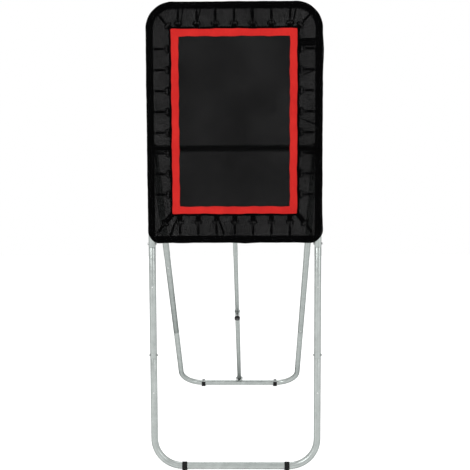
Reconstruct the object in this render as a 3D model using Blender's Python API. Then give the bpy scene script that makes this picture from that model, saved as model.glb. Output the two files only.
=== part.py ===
"""Folding lacrosse rebounder: a sprung net panel on an A-shaped stand of round steel tube.

Metres, +Z up, the net faces -Y. The origin is on the floor, midway between the frontmost
and the rearmost point. The rear frame hangs on two bolts behind the panel and folds
forwards, and a telescopic strut between the two frames slides together as it does.
"""

from math import acos, asin, atan2, ceil, cos, degrees, hypot, pi, radians, sin

import bmesh
import bpy
from mathutils import Matrix, Vector

# Driving dimensions, in metres

# Clearance between pieces that touch, and the steel tube of both frames
GAP = 0.0003
TUBE_RADIUS = 0.01345
TUBE_WALL = 0.0012
BEND_RADIUS = 0.110
ARCH_BEND_RADIUS = 0.088

# Front frame: an arch, two legs and a foot tube, plugged into each other
FRAME_SPAN = 0.648
FRAME_TOP = 1.822
CROSS_HEIGHT = 0.929
SEAM_CLEARANCE = 0.0008
LOWER_SEAM = 0.454
SPIGOT_LENGTH = 0.040
SWAGE_LENGTH = 0.004
FOOT_PAD = 0.004

# Rear frame: two legs, a crossbar on the fold's axis and a foot tube
REAR_INSET = 0.0085
REAR_LEG_LENGTH = 1.735
REAR_SEAM = 1.245
PIVOT_HEIGHT = 1.281
PIVOT_CLEARANCE = 0.007
LEG_STUB = 0.013
FOLD_ANGLE = radians(40.6)

# Plates that carry the pivots
EAR_PLATE = 0.003
EAR_CLEARANCE = 0.0005
EAR_MARGIN = 0.0095
EAR_WELD = 0.0034
EAR_CUT = 0.6
LUG_TOE = 0.4

# Bolts and screws: shank, then head. Crown, shoulder and edges are shares of a head or a nut
PIVOT_BOLT_RADIUS = 0.004
PIVOT_HEAD_RADIUS = 0.0075
PIVOT_HEAD_HEIGHT = 0.004
PIVOT_NUT_RADIUS = 0.007
PIVOT_NUT_HEIGHT = 0.0065
JOINT_SCREW_RADIUS = 0.0025
JOINT_HEAD_RADIUS = 0.005
JOINT_HEAD_HEIGHT = 0.0055
JOINT_SCREW_RISE = 0.0135
HEAD_CROWN = 0.6
HEAD_SHOULDER = 0.92
HEAD_EDGE = 0.6
NUT_EDGE = 0.7

# Strut: a rod that slides in a tube, held by a clamp screw
STRUT_TUBE_RADIUS = 0.0105
STRUT_TUBE_LENGTH = 0.834
ROD_RADIUS = 0.009
ROD_WALL = 0.0012
ROD_OVERLAP = 0.1635
STRUT_END = 0.010
COLLAR_RADIUS = 0.012
COLLAR_LENGTH = 0.012
STRUT_TOP_CLEARANCE = 0.0077
STRUT_TOP_DROP = 0.002
LUG_RISE = 0.0276
LUG_OFFSET = 0.0111
LOWER_PIN_RADIUS = 0.004
UPPER_PIN_RADIUS = 0.003
PIN_HEAD_RADIUS = 0.0065
PIN_HEAD_HEIGHT = 0.0055

# Clamp screw and its knob. Face and edge are shares of the knob's radius and height
CLAMP_BELOW_COLLAR = 0.0255
CLAMP_SCREW_RADIUS = 0.003
BOSS_RADIUS = 0.0075
BOSS_HEIGHT = 0.007
KNOB_RADIUS = 0.0127
KNOB_HEIGHT = 0.013
KNOB_STAND_OFF = 0.0012
KNOB_FLUTE = 0.001
KNOB_LOBES = 12
KNOB_FACE = 0.8
KNOB_EDGE = 0.15

# Net, the springs round it, and the fabric over the springs and the frame
SIDE_ZONE = 0.06005
TOP_ZONE = 0.06505
BOTTOM_ZONE = 0.07605
NET_THICKNESS = 0.003
NET_CORNER = 0.012
HEM = 0.008
BAND_WIDTH = 0.0285
BAND_THICKNESS = 0.0012
SLEEVE_WALL = 0.0013
SLEEVE_OPENING = radians(26)
COVER_THICKNESS = 0.001
COVER_CORNER = 0.022
COVER_LIFT = 0.0005

# Springs
SIDE_SPRINGS = 8
END_SPRINGS = 7
SIDE_SPRING_MARGIN = 0.084
END_SPRING_MARGIN = 0.110
WIRE_RADIUS = 0.0011
COIL_RADIUS = 0.0044
COIL_LENGTH = 0.034
COIL_LEAD = 0.007
COIL_TURNS = 2.5

# Rubber feet
FOOT_WIDTH = 0.020
FOOT_INSET = 0.120
REAR_FOOT_INSET = 0.118
CLIP_WALL = 0.0025
CLIP_BASE = 0.022
CLIP_FRONT_LIP = radians(90)
CLIP_BASE_ANGLE = radians(225)
CLIP_REAR_LIP = radians(390)
PAD_WALL = 0.0025
PAD_HEIGHT = 0.024

# Facets
TUBE_SIDES = 12
BEND_STEPS = 7
BOLT_SIDES = 10
WIRE_POINTS_PER_TURN = 8
FOLD_STEPS = 40

# Places that follow from the driving dimensions
BORE_RADIUS = TUBE_RADIUS - TUBE_WALL
SPIGOT_RADIUS = BORE_RADIUS - GAP
SPIGOT_BORE = SPIGOT_RADIUS - TUBE_WALL
SLEEVE_INNER = TUBE_RADIUS + GAP
SLEEVE_RADIUS = SLEEVE_INNER + SLEEVE_WALL
NOTCH_START = TUBE_RADIUS / 3
UPPER_SEAM = CROSS_HEIGHT - TUBE_RADIUS - SEAM_CLEARANCE - JOINT_HEAD_RADIUS - JOINT_SCREW_RISE
SIDE_X = FRAME_SPAN / 2
LEG_X = SIDE_X - REAR_INSET
BAR_HEIGHT = FOOT_PAD + GAP + TUBE_RADIUS
PIVOT_SETBACK = SLEEVE_RADIUS + PIVOT_CLEARANCE + TUBE_RADIUS
LEAN = acos((PIVOT_HEIGHT - BAR_HEIGHT) / REAR_LEG_LENGTH)
BAR_SETBACK = PIVOT_SETBACK + REAR_LEG_LENGTH * sin(LEAN)
COVER_RISE = SLEEVE_RADIUS + COVER_LIFT
PAD_REACH = TUBE_RADIUS + GAP + PAD_WALL
FRONT_Y = (COVER_RISE + COVER_THICKNESS - PAD_REACH - BAR_SETBACK) / 2
PIVOT = Vector((0.0, FRONT_Y + PIVOT_SETBACK, PIVOT_HEIGHT))

NET_HALF_WIDTH = SIDE_X - TUBE_RADIUS - SIDE_ZONE
NET_TOP = FRAME_TOP - TUBE_RADIUS - TOP_ZONE
NET_BOTTOM = CROSS_HEIGHT + TUBE_RADIUS + BOTTOM_ZONE
NET_MIDDLE = (NET_TOP + NET_BOTTOM) / 2
NET_FRONT = FRONT_Y - NET_THICKNESS / 2

STRUT_TOP_SETBACK = SLEEVE_RADIUS + STRUT_TOP_CLEARANCE + ROD_RADIUS
STRUT_TOP = Vector((0.0, FRONT_Y + STRUT_TOP_SETBACK, CROSS_HEIGHT - STRUT_TOP_DROP))
STRUT_BORE = ROD_RADIUS + GAP
LUG_INNER = STRUT_TUBE_RADIUS + EAR_CLEARANCE
FORK_INNER = ROD_RADIUS + EAR_CLEARANCE


def rear_to_world(point):
    """Turn a point of the rear frame, counted from its pivot, into a world point."""
    return PIVOT + Matrix.Rotation(LEAN, 3, "X") @ point


LUG_PLACE = Vector((0.0, LUG_OFFSET, -(REAR_LEG_LENGTH - LUG_RISE)))
STRUT_FOOT = rear_to_world(LUG_PLACE)
STRUT_LINE = STRUT_TOP - STRUT_FOOT
STRUT_LENGTH = STRUT_LINE.length
STRUT_LEAN = atan2(-STRUT_LINE.y, STRUT_LINE.z)
ROD_LENGTH = STRUT_LENGTH + STRUT_END - STRUT_TUBE_LENGTH + ROD_OVERLAP
CLAMP_PLACE = STRUT_TUBE_LENGTH - CLAMP_BELOW_COLLAR


# Scene and materials

def clear_scene():
    for old in list(bpy.data.objects):
        bpy.data.objects.remove(old, do_unlink=True)


def make_material(name, colour, roughness, metallic):
    material = bpy.data.materials.new(name)
    material.use_nodes = True
    shader = material.node_tree.nodes["Principled BSDF"]
    shader.inputs["Base Color"].default_value = (*colour, 1.0)
    shader.inputs["Roughness"].default_value = roughness
    shader.inputs["Metallic"].default_value = metallic
    material.diffuse_color = (*colour, 1.0)
    return material


def make_materials():
    return {
        "tube": make_material("tube_steel", (0.44, 0.47, 0.46), 0.38, 0.9),
        "zinc": make_material("zinc_steel", (0.55, 0.56, 0.56), 0.3, 1.0),
        "spring": make_material("spring_wire", (0.30, 0.31, 0.31), 0.35, 1.0),
        "sleeve": make_material("sleeve_fabric", (0.006, 0.006, 0.007), 0.85, 0.0),
        "cover": make_material("cover_mesh", (0.018, 0.018, 0.019), 0.8, 0.0),
        "net": make_material("net_mesh", (0.013, 0.013, 0.014), 0.75, 0.0),
        "band": make_material("target_red", (0.75, 0.015, 0.012), 0.7, 0.0),
        "rubber": make_material("foot_rubber", (0.008, 0.008, 0.008), 0.6, 0.0),
        "plastic": make_material("knob_plastic", (0.010, 0.010, 0.011), 0.45, 0.0),
    }


def add_object(name, data, material, parent=None, location=(0.0, 0.0, 0.0), turn=(0.0, 0.0, 0.0)):
    """Link an object with one material, placed under its parent."""
    item = bpy.data.objects.new(name, data)
    bpy.context.scene.collection.objects.link(item)
    item.parent = parent
    item.location = location
    item.rotation_euler = turn
    if material is not None and not data.materials:
        data.materials.append(material)
    return item


def add_empty(name, location, turn=(0.0, 0.0, 0.0), parent=None):
    """Link an empty that marks a joint's axis."""
    empty = bpy.data.objects.new(name, None)
    bpy.context.scene.collection.objects.link(empty)
    empty.parent = parent
    empty.location = location
    empty.rotation_euler = turn
    return empty


def hide_tool(item):
    item.hide_render = True
    item.display_type = "WIRE"
    return item


def combine(target, tool, operation):
    """Add an exact Boolean with a hidden tool that shares the target's parent."""
    modifier = target.modifiers.new(operation.lower() + "_" + tool.name, "BOOLEAN")
    modifier.operation = operation
    modifier.solver = "EXACT"
    modifier.object = hide_tool(tool)


# Mesh building

def finish_mesh(name, bm, sharp=radians(35)):
    bmesh.ops.recalc_face_normals(bm, faces=bm.faces)
    mesh = bpy.data.meshes.new(name)
    bm.to_mesh(mesh)
    bm.free()
    mesh.shade_smooth()
    mesh.set_sharp_from_angle(angle=sharp)
    return mesh


def loft(name, rings, closed=False, sharp=radians(35)):
    """Join rings of points one after the other, and cap the ends unless the rings close."""
    bm = bmesh.new()
    loops = [[bm.verts.new(point) for point in ring] for ring in rings]
    pairs = list(zip(loops, loops[1:]))
    if closed:
        pairs.append((loops[-1], loops[0]))
    for near, far in pairs:
        for i in range(len(near)):
            j = (i + 1) % len(near)
            bm.faces.new((near[i], near[j], far[j], far[i]))
    if not closed:
        bm.faces.new(loops[0])
        bm.faces.new(loops[-1])
    return finish_mesh(name, bm, sharp)


def extrude_outline(name, outline, axis, low, high):
    """Extrude a flat outline along one axis. The outline holds the other two coordinates."""
    def place(a, b, along):
        point = [a, b]
        point.insert("XYZ".index(axis), along)
        return Vector(point)

    bm = bmesh.new()
    face = bm.faces.new([bm.verts.new(place(a, b, low)) for a, b in outline])
    grown = bmesh.ops.extrude_face_region(bm, geom=[face])
    verts = [part for part in grown["geom"] if isinstance(part, bmesh.types.BMVert)]
    bmesh.ops.translate(bm, verts=verts, vec=place(0.0, 0.0, high - low))
    return finish_mesh(name, bm)


def arc(centre, radius, start, end, steps):
    """Points on a flat arc, both ends included."""
    points = []
    for i in range(steps + 1):
        angle = start + (end - start) * i / steps
        points.append((centre[0] + radius * cos(angle), centre[1] + radius * sin(angle)))
    return points


def circle_ring(centre, normal, side, radius, sides=TUBE_SIDES):
    """One ring of points round a centre, with its first point along the normal."""
    ring = []
    for i in range(sides):
        angle = 2 * pi * i / sides
        ring.append(centre + radius * (cos(angle) * normal + sin(angle) * side))
    return ring


def bent_path(corners, radius):
    """Centre line in the XZ plane through corner points, its corners rounded."""
    stations = []
    count = len(corners)
    for i, corner in enumerate(corners):
        here = Vector((corner[0], 0.0, corner[1]))
        if i in (0, count - 1):
            other = corners[1] if i == 0 else corners[-2]
            along = Vector((other[0], 0.0, other[1])) - here
            along = along if i == 0 else -along
            stations.append((here, along.normalized()))
            continue
        before = (here - Vector((corners[i - 1][0], 0.0, corners[i - 1][1]))).normalized()
        after = (Vector((corners[i + 1][0], 0.0, corners[i + 1][1])) - here).normalized()
        centre = here - radius * before + radius * after
        for step in range(BEND_STEPS + 1):
            angle = pi / 2 * step / BEND_STEPS
            tangent = cos(angle) * before + sin(angle) * after
            point = centre + radius * (sin(angle) * before - cos(angle) * after)
            stations.append((point, tangent))
    return stations


def pipe(name, outer, inner):
    """Hollow tube from outer and inner stations, each a point, a tangent and a radius."""
    normal = Vector((0.0, 1.0, 0.0))
    rings = []
    for point, tangent, radius in outer + inner[::-1]:
        rings.append(circle_ring(point, normal, normal.cross(tangent), radius))
    return loft(name, rings, closed=True)


def straight_pipe(name, start, end, radius, bore):
    """Straight hollow tube with square ends."""
    along = (end - start).normalized()
    outer = [(start, along, radius), (end, along, radius)]
    inner = [(start, along, bore), (end, along, bore)]
    return pipe(name, outer, inner)


def spigot_stations(seam, along):
    """Outer and inner stations of a reduced end that plugs into the next tube."""
    tip = seam + SPIGOT_LENGTH * along
    root = seam - SWAGE_LENGTH * along
    outer = [(seam, along, TUBE_RADIUS), (seam, along, SPIGOT_RADIUS), (tip, along, SPIGOT_RADIUS)]
    inner = [(root, along, BORE_RADIUS), (seam, along, SPIGOT_BORE), (tip, along, SPIGOT_BORE)]
    return outer, inner


def bent_foot_tube(name, half_span, seam, bar):
    """U of tube, open upwards, whose two ends are reduced to plug into the legs."""
    up = Vector((0.0, 0.0, 1.0))
    corners = [(-half_span, seam), (-half_span, bar), (half_span, bar), (half_span, seam)]
    path = bent_path(corners, BEND_RADIUS)[1:-1]
    body = [(point, tangent, TUBE_RADIUS) for point, tangent in path]
    bore = [(point, tangent, BORE_RADIUS) for point, tangent in path]
    right_outer, right_inner = spigot_stations(Vector((half_span, 0.0, seam)), up)
    left_outer, left_inner = spigot_stations(Vector((-half_span, 0.0, seam)), up)
    left_outer = [(point, -along, radius) for point, along, radius in left_outer[::-1]]
    left_inner = [(point, -along, radius) for point, along, radius in left_inner[::-1]]
    return pipe(name, left_outer + body + right_outer, left_inner + bore + right_inner)


def turned(name, profile, axis="X", sides=BOLT_SIDES):
    """Solid of revolution from pairs of place along the axis and radius."""
    frames = {
        "X": (Vector((1, 0, 0)), Vector((0, 1, 0)), Vector((0, 0, 1))),
        "Y": (Vector((0, 1, 0)), Vector((0, 0, 1)), Vector((1, 0, 0))),
    }
    along, normal, side = frames[axis]
    rings = [circle_ring(place * along, normal, side, radius, sides) for place, radius in profile]
    return loft(name, rings)


def rod_cutter(name, centre, radius, low, high, axis="X", parent=None):
    """Round cutter along an axis, for a hole through a wall."""
    mesh = turned(name, [(low, radius), (high, radius)], axis)
    return add_object(name, mesh, None, parent, centre)


def box_cutter(name, low, high):
    """Square cutter between two corners."""
    outline = [(low[1], low[2]), (high[1], low[2]), (high[1], high[2]), (low[1], high[2])]
    return add_object(name, extrude_outline(name, outline, "X", low[0], high[0]), None)


def fastener(shank, head, head_height, grip_start, grip_end, nut=None, nut_height=None):
    """Profile of a bolt along X with a domed head at its high end and a nut at its low end."""
    nut = head if nut is None else nut
    nut_height = head_height if nut_height is None else nut_height
    return [
        (grip_start - nut_height, HEAD_CROWN * nut),
        (grip_start - NUT_EDGE * nut_height, nut),
        (grip_start, nut),
        (grip_start, shank),
        (grip_end, shank),
        (grip_end, head),
        (grip_end + HEAD_EDGE * head_height, HEAD_SHOULDER * head),
        (grip_end + head_height, HEAD_CROWN * head),
    ]


# Front frame

def ear_outline(root, tip, low, high, cut):
    """Flat plate in the YZ plane with its two outer corners cut."""
    lower = [(root, low), (tip - cut, low), (tip, low + cut)]
    return lower + [(tip, high - cut), (tip - cut, high), (root, high)]


def build_arch(materials):
    """Top arch with the two ears that carry the rear frame."""
    corners = [
        (-SIDE_X, UPPER_SEAM + GAP),
        (-SIDE_X, FRAME_TOP),
        (SIDE_X, FRAME_TOP),
        (SIDE_X, UPPER_SEAM + GAP),
    ]
    path = bent_path(corners, ARCH_BEND_RADIUS)
    outer = [(point, tangent, TUBE_RADIUS) for point, tangent in path]
    inner = [(point, tangent, BORE_RADIUS) for point, tangent in path]
    arch = add_object("front_arch_tube", pipe("front_arch_tube", outer, inner), materials["tube"],
                      location=(0.0, FRONT_Y, 0.0))
    ear_inner = LEG_X + TUBE_RADIUS + EAR_CLEARANCE
    reach = PIVOT_BOLT_RADIUS + GAP + EAR_MARGIN
    outline = ear_outline(FRONT_Y + TUBE_RADIUS - EAR_WELD, PIVOT.y + reach,
                          PIVOT_HEIGHT - reach, PIVOT_HEIGHT + reach, EAR_CUT * reach)
    for side, word in ((-1, "left"), (1, "right")):
        low, high = sorted((side * ear_inner, side * (ear_inner + EAR_PLATE)))
        ear = add_object("ear_" + word, extrude_outline("ear_" + word, outline, "X", low, high), None)
        combine(arch, ear, "UNION")
    for side, word in ((-1, "left"), (1, "right")):
        hole = rod_cutter("ear_hole_" + word, (side * ear_inner, PIVOT.y, PIVOT.z),
                          PIVOT_BOLT_RADIUS + GAP, -2 * EAR_PLATE, 2 * EAR_PLATE)
        combine(arch, hole, "DIFFERENCE")
        combine(arch, screw_hole("arch_screw_" + word, side, UPPER_SEAM), "DIFFERENCE")
    return arch


def screw_hole(name, side, seam):
    """Cross hole for the screw that locks the plugged joint just above a seam."""
    reach = TUBE_RADIUS + 4 * GAP
    centre = (side * SIDE_X, FRONT_Y, seam + JOINT_SCREW_RISE)
    return rod_cutter(name, centre, JOINT_SCREW_RADIUS + GAP, -reach, reach)


def build_front_leg(side, word, materials):
    """Straight leg, its top end reduced to plug into the arch."""
    up = Vector((0.0, 0.0, 1.0))
    foot = Vector((side * SIDE_X, 0.0, LOWER_SEAM + GAP))
    tip_outer, tip_inner = spigot_stations(Vector((side * SIDE_X, 0.0, UPPER_SEAM)), up)
    outer = [(foot, up, TUBE_RADIUS)] + tip_outer
    inner = [(foot, up, BORE_RADIUS)] + tip_inner
    name = "front_leg_" + word
    leg = add_object(name, pipe(name, outer, inner), materials["tube"], location=(0.0, FRONT_Y, 0.0))
    for seam, place in ((UPPER_SEAM, "upper"), (LOWER_SEAM, "lower")):
        combine(leg, screw_hole(f"leg_screw_{word}_{place}", side, seam), "DIFFERENCE")
    return leg


def build_front_foot_tube(materials):
    mesh = bent_foot_tube("front_foot_tube", SIDE_X, LOWER_SEAM, BAR_HEIGHT)
    tube = add_object("front_foot_tube", mesh, materials["tube"], location=(0.0, FRONT_Y, 0.0))
    for side, word in ((-1, "left"), (1, "right")):
        combine(tube, screw_hole("foot_screw_" + word, side, LOWER_SEAM), "DIFFERENCE")
    return tube


def build_joint_screws(materials):
    """Cross screws of the four plugged joints, with their heads outwards."""
    seat = TUBE_RADIUS + GAP
    profile = fastener(JOINT_SCREW_RADIUS, JOINT_HEAD_RADIUS, JOINT_HEAD_HEIGHT, -seat, seat)
    mesh = turned("joint_screw", profile)
    for side, word in ((-1, "left"), (1, "right")):
        for seam, place in ((UPPER_SEAM, "upper"), (LOWER_SEAM, "lower")):
            turn = (0.0, 0.0, 0.0 if side > 0 else pi)
            add_object(f"joint_screw_{word}_{place}", mesh, materials["zinc"],
                       location=(side * SIDE_X, FRONT_Y, seam + JOINT_SCREW_RISE), turn=turn)


def build_cross_tube(materials, drift):
    """Lower tube of the panel, with the slotted fork that takes the strut's top pin."""
    half = SIDE_X - TUBE_RADIUS - GAP
    centre = Vector((0.0, 0.0, CROSS_HEIGHT))
    reach = Vector((half, 0.0, 0.0))
    mesh = straight_pipe("front_cross_tube", centre - reach, centre + reach, TUBE_RADIUS, BORE_RADIUS)
    tube = add_object("front_cross_tube", mesh, materials["tube"], location=(0.0, FRONT_Y, 0.0))
    room = UPPER_PIN_RADIUS + GAP
    slot_low = (STRUT_TOP.y + drift["low"][0] - room, STRUT_TOP.z + drift["low"][1] - room)
    slot_high = (STRUT_TOP.y + drift["high"][0] + room, STRUT_TOP.z + drift["high"][1] + room)
    outline = ear_outline(FRONT_Y + TUBE_RADIUS - EAR_WELD, slot_high[0] + EAR_MARGIN / 2,
                          slot_low[1] - EAR_MARGIN, slot_high[1] + EAR_MARGIN / 2, EAR_MARGIN / 4)
    for side, word in ((-1, "left"), (1, "right")):
        low, high = sorted((side * FORK_INNER, side * (FORK_INNER + EAR_PLATE)))
        ear = add_object("fork_" + word, extrude_outline("fork_" + word, outline, "X", low, high), None)
        combine(tube, ear, "UNION")
    width = FORK_INNER + 2 * EAR_PLATE
    slot = box_cutter("fork_slot", (-width, *slot_low), (width, *slot_high))
    combine(tube, slot, "DIFFERENCE")
    return tube


# Net, band, springs and fabric

def rounded_rectangle(half_width, low, high, radius, top_radius=None, steps=3, top_steps=None):
    """Points round a rectangle in the XZ plane, with its own radius for the top corners."""
    top_radius = radius if top_radius is None else top_radius
    top_steps = steps if top_steps is None else top_steps
    points = arc((half_width - radius, low + radius), radius, -pi / 2, 0.0, steps)
    points += arc((half_width - top_radius, high - top_radius), top_radius, 0.0, pi / 2, top_steps)
    points += arc((top_radius - half_width, high - top_radius), top_radius, pi / 2, pi, top_steps)
    points += arc((radius - half_width, low + radius), radius, pi, 1.5 * pi, steps)
    return points


def build_net(materials):
    outline = rounded_rectangle(NET_HALF_WIDTH, NET_BOTTOM, NET_TOP, NET_CORNER)
    mesh = extrude_outline("rebound_net", outline, "Y", NET_FRONT, NET_FRONT + NET_THICKNESS)
    return add_object("rebound_net", mesh, materials["net"])


def flat_ring(name, outlines):
    """Closed frame shape from four outlines: front outer, front inner, back inner, back outer."""
    rings = [[Vector((x, y, z)) for x, z in outline] for outline, y in outlines]
    return loft(name, rings, closed=True)


def build_band(materials):
    """Target band sewn on the front of the net, a hem's width in from its edge."""
    back = NET_FRONT - GAP
    front = back - BAND_THICKNESS
    outer = rounded_rectangle(NET_HALF_WIDTH - HEM, NET_BOTTOM + HEM, NET_TOP - HEM, NET_CORNER / 2)
    inset = HEM + BAND_WIDTH
    inner = rounded_rectangle(NET_HALF_WIDTH - inset, NET_BOTTOM + inset, NET_TOP - inset, NET_CORNER / 4)
    mesh = flat_ring("target_band", [(outer, front), (inner, front), (inner, back), (outer, back)])
    return add_object("target_band", mesh, materials["band"])


def build_cover(materials):
    """Mesh cover in front of the springs, from the frame's front down to the net's hem."""
    edge = HEM - 2 * GAP
    inner = rounded_rectangle(NET_HALF_WIDTH - edge, NET_BOTTOM + edge, NET_TOP - edge,
                              NET_CORNER / 2, top_steps=BEND_STEPS)
    outer = rounded_rectangle(SIDE_X, CROSS_HEIGHT, FRAME_TOP, COVER_CORNER,
                              top_radius=ARCH_BEND_RADIUS, top_steps=BEND_STEPS)
    outer_back = FRONT_Y - COVER_RISE
    inner_back = NET_FRONT - GAP
    mesh = flat_ring("spring_cover", [
        (outer, outer_back - COVER_THICKNESS),
        (inner, inner_back - COVER_THICKNESS),
        (inner, inner_back),
        (outer, outer_back),
    ])
    return add_object("spring_cover", mesh, materials["cover"])


def sleeve_ring(point, tangent, inward):
    """One C-shaped section of the sleeve, open towards the springs."""
    normal = Vector((0.0, 1.0, 0.0))
    side = normal.cross(tangent)
    if side.dot(inward) < 0:
        side = -side
    steps = TUBE_SIDES - 2
    start = SLEEVE_OPENING
    sweep = 2 * pi - 2 * SLEEVE_OPENING
    outside = []
    inside = []
    for i in range(steps + 1):
        angle = start + sweep * i / steps
        spoke = cos(angle) * side + sin(angle) * normal
        outside.append(point + SLEEVE_RADIUS * spoke)
        inside.append(point + (SLEEVE_INNER + GAP) * spoke)
    return outside + inside[::-1]


def build_sleeves(materials):
    """Fabric sleeve round the panel's tubes: one over the arch, one over the cross tube."""
    low = CROSS_HEIGHT + SLEEVE_RADIUS + 2 * GAP
    corners = [(-SIDE_X, low), (-SIDE_X, FRAME_TOP), (SIDE_X, FRAME_TOP), (SIDE_X, low)]
    middle = Vector((0.0, 0.0, NET_MIDDLE))
    rings = []
    for point, tangent in bent_path(corners, ARCH_BEND_RADIUS):
        rings.append(sleeve_ring(point, tangent, middle - point))
    upper = add_object("frame_sleeve_upper", loft("frame_sleeve_upper", rings), materials["sleeve"],
                       location=(0.0, FRONT_Y, 0.0))
    ear_inner = LEG_X + TUBE_RADIUS + EAR_CLEARANCE
    reach = PIVOT_BOLT_RADIUS + 2 * GAP + EAR_MARGIN
    for side, word in ((-1, "left"), (1, "right")):
        near, far = sorted((side * (ear_inner - GAP), side * (ear_inner + EAR_PLATE + GAP)))
        notch = box_cutter("sleeve_notch_" + word,
                           (near, FRONT_Y + NOTCH_START, PIVOT_HEIGHT - reach),
                           (far, FRONT_Y + 2 * TUBE_RADIUS, PIVOT_HEIGHT + reach))
        combine(upper, notch, "DIFFERENCE")

    half = SIDE_X - TUBE_RADIUS - GAP - JOINT_HEAD_HEIGHT - 2 * GAP
    right = Vector((1.0, 0.0, 0.0))
    up = Vector((0.0, 0.0, 1.0))
    centre = Vector((0.0, 0.0, CROSS_HEIGHT))
    rings = [sleeve_ring(centre + side * half * right, right, up) for side in (-1, 1)]
    lower = add_object("frame_sleeve_lower", loft("frame_sleeve_lower", rings), materials["sleeve"],
                       location=(0.0, FRONT_Y, 0.0))
    width = FORK_INNER + EAR_PLATE + GAP
    notch = box_cutter("sleeve_notch_fork",
                       (-width, FRONT_Y + NOTCH_START, CROSS_HEIGHT - 2 * TUBE_RADIUS),
                       (width, FRONT_Y + 2 * TUBE_RADIUS, CROSS_HEIGHT + 2 * TUBE_RADIUS))
    combine(lower, notch, "DIFFERENCE")


def spring_points(length):
    """Centre line of a spring along +X: straight end, turns, straight end."""
    coil_start = length - COIL_LEAD - COIL_LENGTH
    count = ceil(COIL_TURNS * WIRE_POINTS_PER_TURN)
    points = [Vector((0.0, 0.0, 0.0)), Vector((coil_start - 2 * WIRE_RADIUS, 0.0, 0.0))]
    for i in range(count + 1):
        turns = COIL_TURNS * i / count
        swell = min(1.0, 2 * turns, 2 * (COIL_TURNS - turns))
        angle = 2 * pi * turns
        radius = COIL_RADIUS * swell
        along = coil_start + COIL_LENGTH * i / count
        points.append(Vector((along, radius * sin(angle), radius * cos(angle))))
    points.append(Vector((length - 2 * WIRE_RADIUS, 0.0, 0.0)))
    points.append(Vector((length, 0.0, 0.0)))
    return points


def least_gap(points):
    """Least gap of a wire to itself, between points at least half a turn apart."""
    apart = WIRE_POINTS_PER_TURN // 2
    least = min((a - b).length for i, a in enumerate(points) for b in points[i + apart:])
    return least - 2 * WIRE_RADIUS


def spring_curve(name, length):
    points = spring_points(length)
    curve = bpy.data.curves.new(name, "CURVE")
    curve.dimensions = "3D"
    curve.bevel_depth = WIRE_RADIUS
    curve.bevel_resolution = 1
    curve.use_fill_caps = True
    spline = curve.splines.new("POLY")
    spline.points.add(len(points) - 1)
    for spot, point in zip(spline.points, points):
        spot.co = (*point, 1.0)
    print(f"{name}: {COIL_TURNS} turns, least gap to itself {1000 * least_gap(points):.2f} mm")
    return curve


def build_springs(materials):
    """Springs between the net's edge and the tube, along both sides and both ends."""
    side_curve = spring_curve("side_spring", SIDE_ZONE - 2 * GAP)
    curves = {
        "left": side_curve,
        "right": side_curve,
        "top": spring_curve("top_spring", TOP_ZONE - 2 * GAP),
        "bottom": spring_curve("bottom_spring", BOTTOM_ZONE - 2 * GAP),
    }
    turns = {
        "left": (0.0, 0.0, pi),
        "right": (0.0, 0.0, 0.0),
        "top": (0.0, -pi / 2, 0.0),
        "bottom": (0.0, pi / 2, 0.0),
    }
    first = NET_BOTTOM + SIDE_SPRING_MARGIN
    side_pitch = (NET_TOP - SIDE_SPRING_MARGIN - first) / (SIDE_SPRINGS - 1)
    end_half = SIDE_X - END_SPRING_MARGIN
    end_pitch = 2 * end_half / (END_SPRINGS - 1)
    places = []
    for i in range(SIDE_SPRINGS):
        height = first + side_pitch * i
        places.append((f"spring_left_{i + 1}", "left", (-NET_HALF_WIDTH - GAP, FRONT_Y, height)))
        places.append((f"spring_right_{i + 1}", "right", (NET_HALF_WIDTH + GAP, FRONT_Y, height)))
    for i in range(END_SPRINGS):
        across = -end_half + end_pitch * i
        places.append((f"spring_top_{i + 1}", "top", (across, FRONT_Y, NET_TOP + GAP)))
        places.append((f"spring_bottom_{i + 1}", "bottom", (across, FRONT_Y, NET_BOTTOM - GAP)))
    for name, edge, location in places:
        add_object(name, curves[edge], materials["spring"], location=location, turn=turns[edge])


# Rear frame

def build_rear_frame(materials, pivot):
    """Two legs, the crossbar on the fold's axis and the foot tube, in the leaning frame."""
    down = Vector((0.0, 0.0, -1.0))
    hole_radius = PIVOT_BOLT_RADIUS + GAP
    reach = TUBE_RADIUS + 4 * GAP
    for side, word in ((-1, "left"), (1, "right")):
        name = "rear_leg_" + word
        start = Vector((side * LEG_X, 0.0, LEG_STUB))
        end = Vector((side * LEG_X, 0.0, GAP - REAR_SEAM))
        mesh = straight_pipe(name, start, end, TUBE_RADIUS, BORE_RADIUS)
        leg = add_object(name, mesh, materials["tube"], pivot)
        centre = (side * LEG_X, 0.0, 0.0)
        hole = rod_cutter("leg_pivot_hole_" + word, centre, hole_radius, -reach, reach, parent=pivot)
        combine(leg, hole, "DIFFERENCE")

    half = Vector((LEG_X - TUBE_RADIUS - GAP, 0.0, 0.0))
    bar = straight_pipe("rear_crossbar", -half, half, TUBE_RADIUS, BORE_RADIUS)
    add_object("rear_crossbar", bar, materials["tube"], pivot)

    mesh = bent_foot_tube("rear_foot_tube", LEG_X, -REAR_SEAM, -REAR_LEG_LENGTH)
    tube = add_object("rear_foot_tube", mesh, materials["tube"], pivot)
    build_lugs(tube, pivot)


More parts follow.
